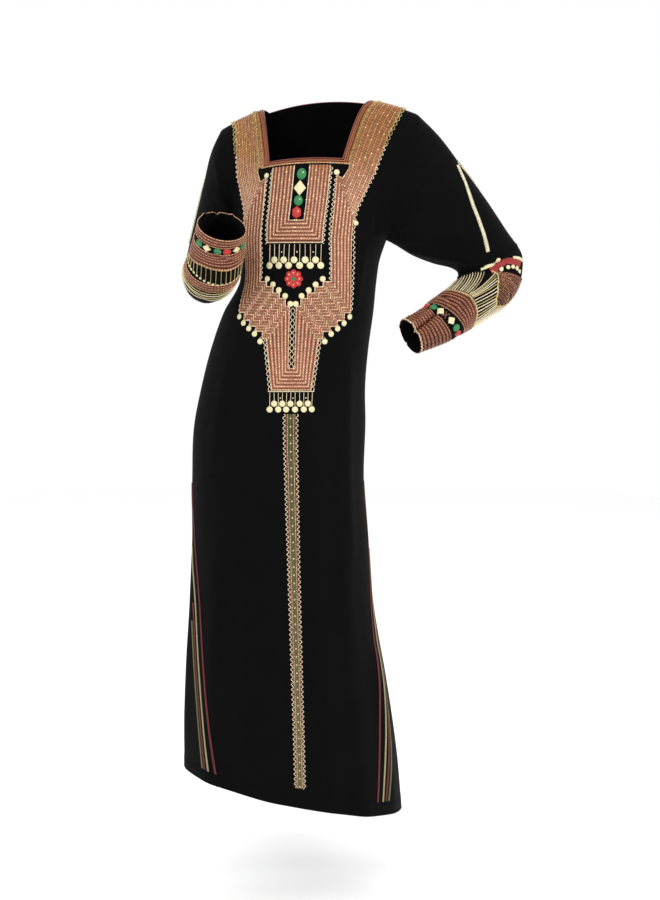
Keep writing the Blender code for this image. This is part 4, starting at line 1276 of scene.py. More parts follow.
def yoke_outer(height):
    """Half width of the yoke, by a curve up the strap and by a table below it."""
    up = np.clip((height - STRAP_LOW) / (TOP - STRAP_LOW), 0, 1)
    strap = STRAP_LOW_HALF + (STRAP_TOP_HALF - STRAP_LOW_HALF) * up ** 0.9
    below = np.interp(height, YOKE_OUTER[:, 0], YOKE_OUTER[:, 1])
    return np.where(height > STRAP_LOW, strap, below)


def lean(heights, sign):
    """Over the chest the couching sits a little towards the dress's right."""
    heights = np.asarray(heights, float)
    below = np.clip((heights - LEAN_LOW[0]) / LEAN_LOW[1], 0, 1)
    return 1 - sign * LEAN * below * np.clip(-heights / LEAN_HIGH, 0, 1)


def leaned(corners, sign):
    corners = np.asarray(corners, float)
    return np.stack([corners[:, 0] * sign * lean(corners[:, 1], sign), corners[:, 1]], axis=1)


def stairs(across, down):
    """Corners of steps, each inwards first and then down."""
    found = [(across[0], down[0])]
    for step in range(1, len(across)):
        found += [(across[step], down[step - 1]), (across[step], down[step])]
    return found


def strap_inset(height, sign):
    """From the neck's edge to the lattice that parts the strap's few inner cords."""
    low = max(CORNER_END * float(lean(CORNER_TOP, sign)) - LATTICE_FOOT, LEAST_INSET)
    return np.interp(height, [NECK_LOW, TOP], [low, NECK_ROOM + INSET_GROWTH])


INNER_STEPS = stairs((0.0720, 0.0561, 0.0410, 0.0272, 0.0150, 0.0064),
                     (-0.3407, -0.3500, -0.3620, -0.3726, -0.3873, -0.3907))
OUTER_STEPS = stairs((0.1155, 0.1018, 0.0873, 0.0732, 0.0595, 0.0500),
                     (-0.4000, -0.4150, -0.4260, -0.4355, -0.4495, -0.4560))
print("half width of the yoke under the shoulder:", float(yoke_outer(TOP)))

# %% Matching outlines
NECK_STEPS, CORNER_STEPS = 22, 4
STRAP_CORNERS = NECK_STEPS + CORNER_STEPS + 1
STRAP = slice(0, STRAP_CORNERS)
STEPPED = slice(STRAP_CORNERS, STRAP_CORNERS + len(INNER_STEPS))
CORD_JOG = (-0.0005, 0.0065)
SHOULDER = TOP - 0.0004
INNER_MITRE = ((0.0836, -0.1335), (0.0720, -0.1345))
OUTER_MITRE = -0.2240
INNER_FOOT = [(0.0062, -0.5060), (0.0, -0.5060)]
OUTER_FOOT = [(0.0385, -0.5475), (0.0, -0.5475)]


def yoke_outlines(sign, jog=(0.0, 0.0)):
    """Inner and outer edge. Jog is how far a cord steps back where the strap ends."""
    inner_h = np.linspace(SHOULDER, NECK_LOW, NECK_STEPS)
    outer_h = np.concatenate([np.linspace(SHOULDER, -0.1200, NECK_STEPS),
                              np.linspace(-0.1560, -0.2190, CORNER_STEPS)])
    inner = list(zip(neck_edge(inner_h, sign) + strap_inset(inner_h, sign), inner_h))
    outer = list(zip(yoke_outer(outer_h) - EDGE, outer_h))
    (mitre_x, mitre_h), (end_x, end_h) = INNER_MITRE
    corner = np.array([inner[-1][0], CORNER_TOP])
    mitre = np.array([mitre_x * float(lean(mitre_h, sign)), mitre_h])
    inner += [tuple(corner + (mitre - corner) * part / (CORNER_STEPS - 1))
              for part in range(CORNER_STEPS)]
    inner += [((end_x + jog[0]) * float(lean(end_h, sign)), end_h + jog[1])]
    outer += [(float(yoke_outer(OUTER_MITRE)) - EDGE + jog[0], OUTER_MITRE + jog[1])]
    inner = np.array(inner + INNER_STEPS + INNER_FOOT)
    outer = np.array(outer + OUTER_STEPS + OUTER_FOOT)
    outer[:, 0] *= lean(outer[:, 1], sign)
    return inner, outer


def yoke_line(sign, share, part=slice(None)):
    inner, outer = yoke_outlines(sign, CORD_JOG)
    return body_line(mirrored((inner + (outer - inner) * share)[part], sign))


print("corners of the yoke's outline:", len(yoke_outlines(1)[0]))

# %% [markdown]
# Filling the yoke
# A thin brown ground goes down first, so no black shows between the cords. Thick
# copper cords lie side by side on it, a pale thread covers every join of two, and
# sequins are sewn along the threads at uneven steps. Between the strap's lattice and
# the neck run up to three more cords, which end where the strap grows narrow.

# %% Ground and sequins
GROUND = 0.0010
GROUND_SUNK = 0.0003
GROUND_STEP, GROUND_COLUMNS = 0.006, 13
RAISED = GROUND + 0.0004
CORDS = 12
SEQUIN = 0.0013
SEQUIN_BASE = GROUND + 0.0013
yoke_work, spangle_work = Work(), Work()


def backing(work, outlines, sign):
    """Thin ground under a field of cords, between two matching outlines."""
    inner, outer = outlines
    rows = []
    for a, b, c, d in zip(inner[:-1], inner[1:], outer[:-1], outer[1:]):
        longer = max(np.linalg.norm(b - a), np.linalg.norm(d - c))
        count = max(1, math.ceil(longer / GROUND_STEP))
        part = np.arange(count)[:, None] / count
        rows.append(np.concatenate([a + (b - a) * part, c + (d - c) * part], axis=1))
    rows.append(np.concatenate([inner[-1:], outer[-1:]], axis=1))
    rows = np.vstack(rows)
    share = np.linspace(0, 1, GROUND_COLUMNS)[None, :, None]
    chart = rows[:, None, :2] + (rows[:, None, 2:] - rows[:, None, :2]) * share
    chart = chart * (sign, 1)
    points, out = on_body(chart[..., 0], chart[..., 1])
    shell(work, points + out * GROUND, out, chart, ground, flip=sign > 0,
          thick=GROUND + GROUND_SUNK)


def scatter(line, first, step):
    """Sequins on every few points of a line."""
    points, out = line
    spots = slice(first, None, step)
    sewn = (points[spots], out[spots])
    copies(spangle_work, spangle, sewn, UPWARD, SEQUIN, sequin, SEQUIN_BASE)


print("height of the ground:", GROUND)

# %% Cords of the yoke
ROOM_FOOT = NECK_LOW - 0.0085
ROOM_STEP = 0.0045
for sign in (-1, 1):
    backing(yoke_work, yoke_outlines(sign), sign)
    for j in range(CORDS):
        lay(yoke_work, yoke_line(sign, (j + 0.5) / CORDS), 0.0031, 0.0014, copper, GROUND)
    for j in range(0, CORDS + 1, 2):
        line = yoke_line(sign, np.clip(j / CORDS, 0.008, 0.992))
        lay(yoke_work, line, 0.0017, 0.0012, pale, RAISED)
        scatter(line, 2 + (3 * j) % 7, 7 + j % 5)
    for j in range(1, CORDS, 2):
        for part in (STRAP, STEPPED):
            lay(yoke_work, yoke_line(sign, j / CORDS, part), 0.0012, 0.0012, pale, RAISED)
    heights = np.linspace(SHOULDER, ROOM_FOOT, 25)
    inset = strap_inset(heights, sign)
    room = [np.stack([neck_edge(heights, sign) + edge, heights], axis=1)
            for edge in (NECK_ROOM, inset + 0.0005)]
    backing(yoke_work, room, sign)
    for j in range(3):
        middle = NECK_ROOM + ROOM_STEP * (j + 0.5)
        fits = heights[inset > middle + 0.0016]
        if len(fits) > 2:
            for shift, width, finish in ((0.0, 0.0031, copper), (0.0022, 0.0013, pale)):
                corners = np.stack([neck_edge(fits, sign) + middle + shift, fits], axis=1)
                lay(yoke_work, body_line(mirrored(corners, sign)), width, 0.0014, finish,
                    GROUND + shift / 5)
yoke = yoke_work.make("yoke_cords", ["yoke"], "copper_couching")

# %% [markdown]
# Zigzag edges and lattices
# A fine cord is couched to and fro along every edge of the yoke. On the straps, on the
# tail's edges and down its middle two such cords cross and make a lattice. A swing
# along the line is a sine wave, so one function makes every edge.

# %% Edges of the yoke
ZIGZAG_STEP = 0.00125
ZIGZAG_RISE = 0.0011
CROSSING = 0.0006
edge_work = Work()


def zigzag(work, corners, reach, pitch, finishes, width=0.0015, base=0.0006):
    """A swinging cord for each finish. The second swings the other way, over the first."""
    line = body_line(corners, ZIGZAG_STEP)
    for turn, finish in enumerate(finishes):
        swung = weave_line(line, reach, pitch, turn * math.pi)
        lay(work, swung, width, ZIGZAG_RISE, finish, base + turn * CROSSING)


STRIP_OUTER = ((0.1198, -0.228), (0.1185, -0.300), (0.1175, -0.3985))
STRIP_INNER = ((0.0702, -0.131), (0.0702, -0.220), (0.0702, -0.300), (0.0702, -0.3385))
TAIL_EDGE = ((0.0540, -0.4520), (0.0417, -0.5485))
TAIL_MIDDLE = ((0, -0.3905), (0, -0.5055))
TAIL_FOOT = ((-0.0455, -0.5500), (0.0455, -0.5500))
LATTICE_CORNERS = 15
BESIDE_STRAP, BESIDE_LATTICE, BESIDE_NECK = 0.0018, 0.0010, 0.0016
for sign in (-1, 1):
    inner, outer = yoke_outlines(sign)
    strap = outer[STRAP] + (BESIDE_STRAP, 0)
    lattice = mirrored(strap[:LATTICE_CORNERS] - (BESIDE_LATTICE, 0), sign)
    zigzag(edge_work, lattice, 0.0040, 0.0210, (gold, gold), 0.0013, 0.0022)
    below = mirrored(strap[LATTICE_CORNERS - 1:], sign)
    zigzag(edge_work, below, 0.0022, 0.0098, (cream_cord,))
    zigzag(edge_work, leaned(STRIP_OUTER, sign), 0.0022, 0.0098, (cream_cord,))
    zigzag(edge_work, leaned(STRIP_INNER, sign), 0.0022, 0.0093, (cream_cord,))
    tail = mirrored(TAIL_EDGE, sign)
    zigzag(edge_work, tail, 0.0030, 0.0200, (cream_cord, cream_cord), 0.0013)
    column = mirrored(inner[:NECK_STEPS + 1] + (BESIDE_NECK, 0), sign)
    zigzag(edge_work, column, 0.0031, 0.0150, (gold, gold), 0.0009, GROUND + 0.0014)
    for corners, width in ((OUTER_STEPS, 0.0017), (INNER_STEPS, 0.0015)):
        lay(edge_work, body_line(mirrored(corners, sign)), width, 0.0013, cream_cord, GROUND)
zigzag(edge_work, TAIL_MIDDLE, 0.0040, 0.0236, (cream_cord, cream_cord), 0.0013)
lay(edge_work, body_line(TAIL_FOOT), 0.0020, 0.0013, cream_cord, 0.0004)
edges = edge_work.make("yoke_edges", slot="cream_stitch")

# %% [markdown]
# The bib
# The bib is a panel of cords in nested U shapes round a slot. Its sides carry
# a zigzag, and the slot and the foot are outlined in cream. As in the yoke, every
# cord is a blend of two outlines with matching corners.

# %% Cords of the bib
BIB_INNER = np.array([(0.0148, -0.1115), (0.0148, -0.1850), (0.0148, -0.217), (0.0, -0.217)])
BIB_OUTER = np.array([(0.0578, -0.1115), (0.0570, -0.2200), (0.0556, -0.2675), (0.0, -0.2675)])
BIB_EDGE = ((0.0600, -0.1150), (0.0592, -0.2200), (0.0577, -0.2690))
BIB_DOTS = [(0.022 + 0.009 * place, -0.1150) for place in range(5)]
bib_work = Work()


def bib_line(sign, share):
    return body_line(leaned(BIB_INNER + (BIB_OUTER - BIB_INNER) * share, sign))


for sign in (-1, 1):
    nested = [leaned(corners, sign) * (sign, 1) for corners in (BIB_INNER, BIB_OUTER)]
    backing(bib_work, nested, sign)
    for j in range(CORDS):
        lay(bib_work, bib_line(sign, (j + 0.5) / CORDS), 0.0029, 0.0013, copper, GROUND)
    for j in range(0, CORDS + 1, 2):
        line = bib_line(sign, np.clip(j / CORDS, 0.012, 0.988))
        finish = cream_cord if j in (0, CORDS) else pale
        lay(bib_work, line, 0.0016, 0.0012, finish, RAISED)
        scatter(line, 1 + (2 * j) % 7, 6 + j % 5)
    zigzag(bib_work, leaned(BIB_EDGE, sign), 0.0021, 0.0091, (cream_cord,))
body_copies(bib_work, spangle, leaned(BIB_DOTS, 1), 0.0018, red, GROUND + 0.0008)
bib = bib_work.make("bib_cords", ["bib"], "copper_couching")

# %% [markdown]
# Neck binding
# Three cords bind the neck, a dark one on the very edge and two copper ones beside it.
# In front a pale cord crosses below them and runs on under the straps, to the outer
# ends of the small black corners.

# %% Bind the neck
BINDING = ((0.0013, 0.0030, maroon), (0.0046, 0.0034, copper), (0.0080, 0.0030, copper))
CROSS_BELOW = 0.0088


def neck_line(low, face, inset):
    """Down one side of the neck, along its foot and up the other side."""
    run = np.linspace(TOP - 0.0003, low, 14)
    down = [(-float(neck_edge(h, -1)) - inset, h) for h in run]
    up = [(float(neck_edge(h, 1)) + inset, h) for h in run[::-1]]
    down[-1] = (down[-1][0], low - inset)
    up[0] = (up[0][0], low - inset)
    return body_line(down + up, 0.006, face)


bindings = {}
for node, face, low in (("neck_binding", 1, NECK_LOW), ("neck_binding_back", -1, BACK_NECK_LOW)):
    work = Work()
    for inset, width, finish in BINDING:
        lay(work, neck_line(low, face, inset), width, 0.0016, finish, 0.0002)
    if face > 0:
        cross = [(end, low - CROSS_BELOW) for end in (-CORNER_END, CORNER_END)]
        lay(work, body_line(cross), 0.0024, 0.0015, pale, 0.0004)
    bindings[node] = work.make(node + "_cords", [node], "rose_binding")

# %% [markdown]
# Fringes and discs
# Under the bib and under the tail hang stitched lines, each ending in a cream
# satin disc. More discs sit in the steps of the V, and the outer ones have stems.
# A line is a short cord, and its foot wobbles a little, as handwork does.

# %% Stitch the fringes
WOBBLE = 0.0006


def stem(work, start, end, width=0.0012):
    lay(work, body_line([start, end], 0.004), width, 0.0009, cream_cord, 0.0001)


def fringe(name, edge, spacing, short, long, radius):
    work = Work()
    for line in range(-5, 6):
        foot = long if line % 2 else short
        start = line * spacing
        end = start + WOBBLE * math.sin(7.3 * line + radius * 900)
        stem(work, (start, edge), (end, foot + radius * 0.8))
        body_copies(work, disc, [(end, foot)], radius, cream)
        if line % 3 == 0:
            between = (start + spacing / 2, (edge + short) / 2)
            body_copies(work, spangle, [between], SEQUIN, sequin)
    return work.make(name + "_stitched", [name], "cream_stitch")


fringes = [fringe("fringe_upper", -0.270, 0.0103, -0.2995, -0.3100, 0.0066),
           fringe("fringe_lower", -0.552, 0.0084, -0.5735, -0.5845, 0.0060)]

# %% Discs along the V
V_INNER = ((0.0555, -0.3355), (0.0420, -0.3460), (0.0292, -0.3567), (0.0160, -0.3678),
           (0.0052, -0.3828))
V_OUTER = ((0.1150, -0.4080), (0.1028, -0.4202), (0.0893, -0.4305), (0.0762, -0.4405),
           (0.0638, -0.4548))
V_DISC = 0.0056
steps = []
for side, sign in SIDE_SIGN.items():
    work = Work()
    body_copies(work, disc, mirrored(V_INNER, sign), V_DISC, cream)
    body_copies(work, disc, leaned([(0.0712, -0.1235)], sign), 0.0054, cream, 0.0002)
    steps.append(work.make("v_inner_" + side + "_discs", ["v_inner_" + side], "cream_stitch"))
    work = Work()
    body_copies(work, disc, mirrored(V_OUTER, sign), V_DISC, cream)
    for x, h in mirrored(V_OUTER, sign):
        stem(work, (x, h + 0.0085), (x, h + 0.004), 0.0014)
    body_copies(work, disc, leaned([(0.1235, -0.2220)], sign), 0.0048, cream, 0.0012)
    steps.append(work.make("v_outer_" + side + "_discs", ["v_outer_" + side], "cream_stitch"))

# %% [markdown]
# Stones and rosette
# In the bib's slot sit four padded stones, green, cream, green and red. Between
# the bib and the V blooms a rosette of eight red petals round a green heart. They
# are the same cushions as the discs, with other corners and widths.

# %% Stones in the slot
STONE_RINGS = ((1.0, 0.0009), (0.88, 0.0020), (0.5, 0.0027))
STONE_SUNK = 0.00036
STONES = (
    # name, length, height, half width, half height, corners, finish, slot
    ("stone_1", -0.0008, -0.1265, 0.0093, 0.0112, 16, green, "green_stitch"),
    ("stone_2", -0.0018, -0.1520, 0.0124, 0.0150, 4, cream, "cream_stitch"),
    ("stone_3", -0.0018, -0.1765, 0.0090, 0.0100, 16, green, "green_stitch"),
    ("stone_4", -0.0024, -0.2010, 0.0096, 0.0122, 6, red, "red_stitch"),
)
for name, aside, height, wide, tall, corners, finish, slot in STONES:
    work = Work()
    stone = cushion(corners, STONE_RINGS, wide, tall, sunk=STONE_SUNK)
    body_copies(work, stone, [(aside, height)], 1.0, finish)
    glint = (aside + wide * 0.35, height + tall * 0.2)
    body_copies(work, spangle, [glint], 0.0012, sequin, 0.0026)
    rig.padded(work.make(name + "_padded", [name], slot), fill=0.8)

# %% Rosette
PETALS = 8
ROSETTE_HEIGHT = -0.3354
rosette_work = Work()
points, out = on_body(np.zeros(PETALS), np.full(PETALS, ROSETTE_HEIGHT))
upward = unit(UPWARD - out[0] * out[0][2])
sideward = np.cross(upward, out[0])
turns = np.arange(PETALS) * 2 * math.pi / PETALS
ways = np.cos(turns)[:, None] * upward + np.sin(turns)[:, None] * sideward
copies(rosette_work, petal, (points, out), ways, 0.0180, red)
copies(rosette_work, disc, (points[:1], out[:1]), ways[:1], 0.0042, green, 0.0030)
copies(rosette_work, spangle, (points + ways * 0.0115, out), ways, 0.0012, sequin, 0.0050)
rosette = rosette_work.make("rosette_petals", ["rosette"], "red_stitch")
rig.padded(rosette, fill=0.6)
spangles = spangle_work.make("sequins")

# %% [markdown]
# Centre strip and tapes
# Down the skirt runs a strip: olive cords with a sequin now and then, a copper and
# a pale line on each side, and a cream zigzag along the edges. Narrow tapes
# follow the gore seams. Each tape is two flat cords side by side, so that it shows
# the ridge down its middle.

# %% Centre strip
STRIP_FOOT, STRIP_TOP = HEM + 0.040, -0.5935
STRIP_LOW_HALF, STRIP_TOP_HALF = 0.0112, 0.0155
STRIP_GROUND = 0.0006
strip_work = Work()
strip_rows = np.linspace(STRIP_FOOT, STRIP_TOP, 120)


def strip_half(height):
    share = (height - STRIP_FOOT) / (STRIP_TOP - STRIP_FOOT)
    return STRIP_LOW_HALF + (STRIP_TOP_HALF - STRIP_LOW_HALF) * share ** 2


def strip_corners(share):
    """A line down the strip, at a share of its half width."""
    return [(share * strip_half(h), h) for h in strip_rows[::-7]]


across = np.linspace(-0.66, 0.66, 9)
chart = np.stack([across[None, :] * strip_half(strip_rows)[:, None],
                  np.repeat(strip_rows[:, None], len(across), axis=1)], axis=-1)
points, out = on_body(chart[..., 0], chart[..., 1])
shell(strip_work, points + out * STRIP_GROUND, out, chart, crepe, thick=0.0008)
for share, width, finish in ((0.0, 0.0026, olive), (0.22, 0.0022, olive), (-0.22, 0.0022, olive),
                             (0.42, 0.0013, pale), (-0.42, 0.0013, pale),
                             (0.60, 0.0015, copper), (-0.60, 0.0015, copper)):
    line = body_line(strip_corners(share), 0.006)
    lay(strip_work, line, width, 0.0011, finish, STRIP_GROUND)
for share in (-0.84, 0.84):
    zigzag(strip_work, strip_corners(share), 0.0022, 0.0098, (cream_cord,), 0.0014, STRIP_GROUND)
sewn = [(0, h) for h in np.arange(STRIP_TOP - 0.008, STRIP_FOOT, -0.016)]
body_copies(strip_work, spangle, sewn, 0.0016, sequin, 0.0016)
strip = strip_work.make("centre_strip_cords", ["centre_strip"], "olive_braid")

# %% Tapes beside the gore seams
TAPE_FOOT = HEM + 0.026
SECOND_LOWER = 0.25
TAPES = {
    # lengths from the seam, width, top, finish, slot
    "tape_red": ((0.0035, 0.0275), 0.0045, -0.74, tape_red, "red_stitch"),
    "tape_cream": ((0.0190,), 0.0040, -0.87, tape_cream, "cream_stitch"),
    "tape_olive": ((0.0350,), 0.0040, -1.03, tape_olive, "olive_braid"),
}
for name, (insets, width, top, finish, slot) in TAPES.items():
    work = Work()
    nodes = []
    for side, sign in SIDE_SIGN.items():
        for face, place in ((1, "front"), (-1, "back")):
            nodes.append(f"{name}_{place}_{side}")
            for turn, inset in enumerate(insets):
                rows = np.linspace(top - SECOND_LOWER * turn, TAPE_FOOT, 90)
                edge = gore_share(rows) * half_length(rows, sign) + inset
                for offset in (0.27, 0.73):
                    corners = np.stack([sign * (edge + width * offset), rows], axis=1)
                    line = body_line(corners, 0.008, face)
                    lay(work, line, width * 0.52, 0.0011, finish, 0.0001)
    work.make(name + "s", nodes, slot)

# %% [markdown]
# Braids of the sleeve insert
# On each upper sleeve two flat gold braids meet near the shoulder and spread
# towards the elbow. Each is a rope with slanted ribs, so a broad cord with
# a coarse twist stands for it.

# %% Braids
BRAIDS = {
    "left": {"front": ((1.74, 27), (2.65, 54), (4.12, 83)),
             "back": ((1.74, 17), (2.9, -10), (4.15, -35))},
    "right": {"front": ((1.74, -24), (2.9, -12), (4.15, -1)),
              "back": ((1.74, -33), (2.9, -58), (4.15, -86))},
}
insert = {}
for side, braids in BRAIDS.items():
    insert[side] = []
    for place, corners in braids.items():
        work = Work()
        lay(work, sleeve_line(side, corners), 0.0080, 0.0022, rope, 0.0002)
        nodes = [f"piping_{place}_{side}"]
        insert[side].append(work.make(f"braid_{place}_{side}", nodes, "gold_braid"))

# %% [markdown]
# Forearms
# The forearms are covered with couching in bands. Each band lies between two
# edges, given as a place along the sleeve for a few angles. The hidden half of
# the arm mirrors the shown one, so each edge closes round the arm.

# %% Bands round a forearm
TURNS = np.linspace(-180, 180, AROUND + 1)[:-1]


def edge_at(table, degrees=TURNS):
    """Place along the sleeve at these angles, the same on both halves."""
    table = np.array(table, float)
    return np.interp(np.abs(degrees), table[:, 0], table[:, 1])


def ring(work, side, along, width, rise, finish, base=0.0002):
    lay(work, on_sleeve(side, along, TURNS), width, rise, finish, base, closed=True)


def band(work, side, first, last, count):
    """Pairs of dark rings with a pale thread between the pairs."""
    for j in range(2 * count):
        middle = first + (last - first) * (j + 0.5) / (2 * count)
        ring(work, side, middle, 0.0026, 0.0013, maroon)
    for j in range(count + 1):
        between = first + (last - first) * j / count
        ring(work, side, between, 0.0011, 0.0011, dim_thread, 0.0006)


def lozenges(work, side, along, row):
    """Padded motifs round the arm: cream ones have four corners, the others are round."""
    for degrees, size, finish in row:
        model = diamond if finish == cream else bead
        sleeve_copies(work, model, side, [(along, degrees)], size, finish)


print("places round a forearm:", len(TURNS))

# %% Bands of the left forearm
CUFF_LIP = 11.97
BORDER_TWO = ((0, 9.74), (20, 9.71), (55, 9.30), (93, 8.93), (144, 8.90), (180, 8.95))
left = Work()
border_two = edge_at(BORDER_TWO)
band(left, "left", border_two + 0.07, edge_at(((0, 10.22), (180, 10.30))), 6)
ring(left, "left", border_two, 0.0030, 0.0016, gold)
band(left, "left", edge_at(((0, 10.92), (180, 10.86))), CUFF_LIP - 0.02, 8)
lip = on_sleeve("left", np.full(360, 11.95), np.linspace(-180, 179, 360))
for phase, finish in ((0.0, cream_cord), (math.pi, dim_thread)):
    swung = weave_line(lip, 0.0016, 0.0085, phase)
    lay(left, swung, 0.0013, 0.0010, finish, 0.0012, closed=True)
print("bands of the left forearm:", left.count, "points")

# %% Block and fans of the left forearm
BORDER_ONE = ((6.47, 91), (6.83, 78), (7.64, 68), (8.30, 48), (8.51, 29), (8.20, 12), (7.95, 0))
NOTCH = ((7.95, -2), (8.20, 12), (8.51, 29))
BLOCK_START, BLOCK_END, BLOCK_CORDS = 6.52, 8.40, 13
RAY_RISE = 0.0013
UPPER_FAN = (
    # share of the fan, then place along and angle of a ray's start and of its foot
    (-0.5, 6.74, 84, 8.84, 95), (0, 7.64, 70, 8.92, 84),
    (0.5, 8.30, 48, 9.32, 58), (1, 8.51, 27, 9.64, 22),
)
LOWER_FAN = (
    (0, 6.62, 104, 8.84, 97), (0.4, 6.92, 128, 8.84, 118),
    (0.8, 7.40, 156, 8.84, 150), (1, 7.55, 178, 8.84, 178),
)


def block_parts(along):
    """From and to, in degrees, of the block's cords at a place along the sleeve."""
    reach = np.interp(along, *np.array(BORDER_ONE[:5]).T) - 2.5
    notch = np.interp(along, *np.array(NOTCH).T)
    if notch < 0:
        return [(-reach, reach)]
    return [(notch + 2, reach), (-reach, -notch - 2)]


def fan(table, rays, parts, width):
    """Cords that spread from one edge to the next, every third one gold."""
    table = np.array(table)
    for ray in rays:
        ends = [np.interp(ray / parts, table[:, 0], column) for column in table[:, 1:].T]
        for line in both_halves("left", np.reshape(ends, (2, 2))):
            lay(left, line, width, RAY_RISE, cream_cord if ray % 3 else gold, 0.0002)


for line in both_halves("left", BORDER_ONE):
    lay(left, line, 0.0032, 0.0016, gold, 0.0004)
for j in range(BLOCK_CORDS):
    along = BLOCK_START + (BLOCK_END - BLOCK_START) * j / (BLOCK_CORDS - 1)
    beside = along + 0.075
    for low, high in block_parts(along):
        if high - low > 4:
            line = sleeve_line("left", [(along, low), (along, high)])
            lay(left, line, 0.0022 if j % 2 else 0.0027, 0.0013, maroon, 0.0002)
            line = sleeve_line("left", [(beside, low + 1.5), (beside, high - 1.5)])
            lay(left, line, 0.0010, 0.0010, dim_thread, 0.0004)
fan(UPPER_FAN, range(-4, 9), 8, 0.0019)
fan(LOWER_FAN, range(13), 12, 0.0018)
for degrees, start, foot in ((20, 8.40, 9.68), (12, 8.28, 9.70), (4, 8.10, 9.71)):
    for line in both_halves("left", [(start, degrees), (foot, degrees * 0.8)]):
        lay(left, line, 0.0019, RAY_RISE, cream_cord, 0.0002)
print("with block and fans:", left.count, "points")

# %% Chevrons and motifs of the left forearm
CHEVRON = ((6.50, 93), (5.20, 68), (5.72, 30))
CHEVRON_GAP = 0.004
for corners in (((5.95, 111), (4.78, 76)), ((5.11, 49), (5.44, 18))):
    for line in both_halves("left", corners):
        lay(left, line, 0.0070, 0.0014, cream, 0.0004)
for points, out in both_halves("left", CHEVRON):
    aside = unit(sides_of((points, out)))
    for shift in (-CHEVRON_GAP, 0.0, CHEVRON_GAP):
        lay(left, (points + aside * shift, out), 0.0046, 0.0013, deep_red, 0.0004)
arc = ((6.16, 74), (5.97, 61), (5.92, 50), (6.02, 39), (6.18, 29))
sleeve_copies(left, disc, "left", arc, 0.0045, cream)
lozenges(left, "left", 10.58, ((133, 0.0078, green), (110, 0.0088, cream), (73, 0.0088, cream),
                               (47, 0.0078, green), (24, 0.0075, red), (158, 0.0078, red)))
for corners in (((10.42, 99), (10.76, 88)), ((10.42, 88), (10.76, 99))):
    for line in both_halves("left", corners):
        lay(left, line, 0.0026, 0.0012, maroon, 0.0002)
left_cords = left.make("forearm_left_cords", slot="maroon_couching")

# %% Right forearm
MIDDLE_FOOT = ((0, 8.30), (60, 8.42), (120, 8.25), (180, 8.25))
MIDDLE_TOP = 9.18
RAY_STARTS = ((0, 8.24), (60, 8.36), (120, 8.19), (180, 8.19))
RAY_FEET = ((0, 7.95), (40, 7.80), (60, 7.68), (100, 7.45), (180, 7.30))
BEADS = ((0, 7.98), (40, 7.86), (60, 7.74), (100, 7.48), (180, 7.30))
LOW_EDGE = ((0, 7.35), (60, 7.20), (180, 6.95))
right = Work()
band(right, "right", 9.58, 9.97, 3)
middle_foot = edge_at(MIDDLE_FOOT)
band(right, "right", middle_foot, MIDDLE_TOP, 5)
ring(right, "right", middle_foot - 0.05, 0.0018, 0.0013, dim_thread)
for degrees in range(-180, 180, 11):
    start, foot = edge_at(RAY_STARTS, degrees), edge_at(RAY_FEET, degrees)
    line = sleeve_line("right", [(start, degrees), (foot, degrees - 4)])
    lay(right, line, 0.0013, 0.0011, gold, 0.0002)
spots = np.arange(5, 178, 9.5)
sleeve_copies(right, disc, "right", zip(edge_at(BEADS, spots), spots), 0.0027, cream)
lozenges(right, "right", 9.38, ((40, 0.0075, green), (64, 0.0085, cream), (90, 0.0075, green),
                                (112, 0.0080, red), (136, 0.0080, cream), (160, 0.0075, green)))
low_edge = edge_at(LOW_EDGE)
band(right, "right", low_edge, low_edge + 0.36, 3)
for j in range(4):
    finish = cream_cord if j % 2 else gold
    ring(right, "right", low_edge - 0.16 - 0.17 * j, 0.0016, 0.0012, finish)
right_cords = right.make("forearm_right_cords", slot="maroon_couching")

# %% [markdown]
# The cloth's cut
# Every panel is a sheet, so its flat cut is stated: width at its widest, length along
# the grain, and the area of the shaped piece. A dress hangs from its shoulders, each
# piece from its neighbours, and what is sewn on a panel goes with it.

# %% State the cut
CUT = {
    # width, length, area, and what it is sewn to
    "front": (0.475, 1.465, 0.540, ["back_cloth"]),
    "back": (0.475, 1.470, 0.555, ["front_cloth"]),
    "gore_left": (0.272, 0.710, 0.099, ["front_cloth", "back_cloth"]),
    "gore_right": (0.269, 0.640, 0.086, ["front_cloth", "back_cloth"]),
    "sleeve_left": (0.574, 0.363, 0.120, ["front_cloth", "back_cloth"]),
    "sleeve_right": (0.529, 0.316, 0.068, ["front_cloth", "back_cloth"]),
    "forearm_left": (0.373, 0.310, 0.069, ["sleeve_left_cloth"]),
    "forearm_right": (0.323, 0.251, 0.058, ["sleeve_right_cloth"]),
}
SEWN_ON = {
    "front": [yoke, edges, bib, spangles, strip, bindings["neck_binding"], *fringes, *steps],
    "back": [bindings["neck_binding_back"]],
    "sleeve_left": insert["left"],
    "sleeve_right": insert["right"],
    "forearm_left": [left_cords],
    "forearm_right": [right_cords],
}


def cloth_area(piece):
    """Half of the area of a thin closed shell."""
    measured = bmesh.new()
    measured.from_mesh(piece.data)
    area = sum(face.calc_area() for face in measured.faces) / 2
    measured.free()
    return area


for name, (width, length, area, sewn_to) in CUT.items():
    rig.sheet(CLOTHS[name], flat=(width, length), held="hung", rests_on=sewn_to, area=area,
             with_pieces=SEWN_ON.get(name, []))
    print(name, "cut", area, "worn", round(cloth_area(CLOTHS[name]), 4))

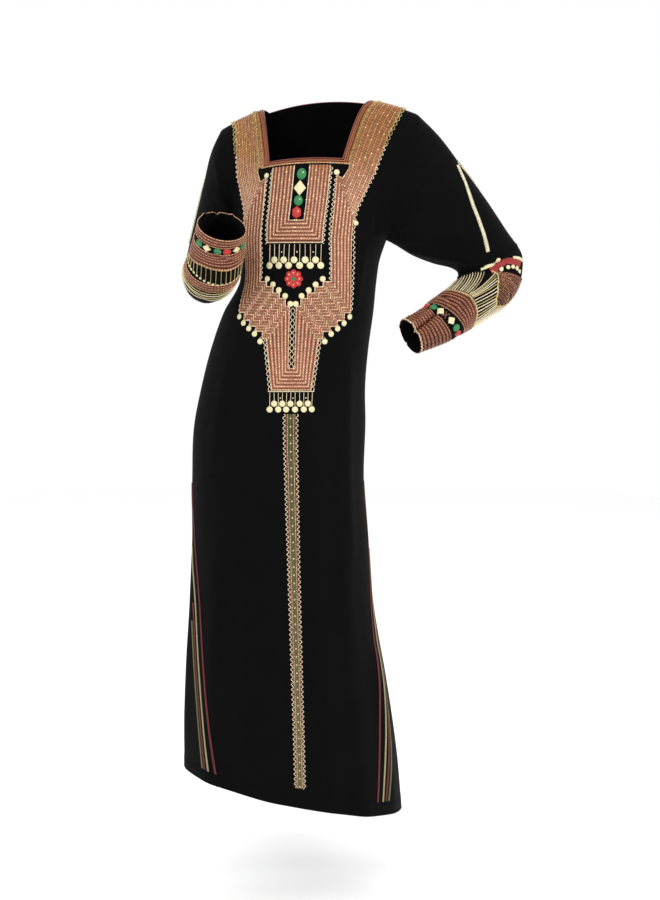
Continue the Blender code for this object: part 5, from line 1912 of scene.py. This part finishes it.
# %% [markdown]
# Floor and light
# A pale floor meets a white sky, as in a studio tent. Broad soft lamps light the dress
# from the front and the sides, so that black cloth still shows its folds.

# %% Pale floor
FLOOR = -1.555
FLOOR_RADIUS = 6
paper = Recipe("pale_floor", 0.9, specular=0.1)
shade = paper.blend(paper.noise(2.0), (0.945, 0.945, 0.945, 1), (0.965, 0.965, 0.965, 1))
bpy.ops.object.select_all(action="DESELECT")
bpy.ops.mesh.primitive_circle_add(vertices=64, radius=FLOOR_RADIUS, fill_type="NGON",
                                  location=(0, 0, FLOOR))
floor = bpy.context.object
floor.name = "floor"
bpy.ops.object.transform_apply(location=True)
floor.data.materials.append(paper.finish(shade))
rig.stage(floor)
print("floor at", FLOOR)

# %% Soft lamps
LIT = Vector((0.0, 0.0, -0.5))


def lamp(name, place, size, power):
    light = bpy.data.lights.new(name, "AREA")
    light.shape = "RECTANGLE"
    light.size, light.size_y = size
    light.energy = power
    made = bpy.data.objects.new(name, light)
    made.location = place
    made.rotation_euler = (LIT - Vector(place)).to_track_quat("-Z", "Y").to_euler()
    bpy.context.scene.collection.objects.link(made)


lamp("key_lamp", (-2.2, -3.0, 1.8), (1.8, 2.2), 58)
lamp("side_lamp", (2.8, -2.4, 0.8), (1.6, 2.2), 58)
lamp("back_lamp", (0.6, 3.2, 1.8), (2.0, 1.2), 40)
world = bpy.data.worlds.new("studio")
world.use_nodes = True
sky = world.node_tree.nodes["Background"]
sky.inputs["Color"].default_value = (1.0, 1.0, 1.0, 1)
sky.inputs["Strength"].default_value = 1.0
bpy.context.scene.world = world
bpy.context.scene.view_settings.view_transform = "Standard"
print("lamps:", [thing.name for thing in bpy.data.objects if thing.type == "LIGHT"])

# %% [markdown]
# Write down the size
# The box of the frame and the box of the visual dress are both written down.

# %% Write both sizes and finish
with open("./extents.json", "w") as notes:
    json.dump({"cad": [list(map(float, corner)) for corner in cad_box],
               "visual": [list(map(float, corner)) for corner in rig.bounds()]}, notes)
print("visual box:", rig.bounds())
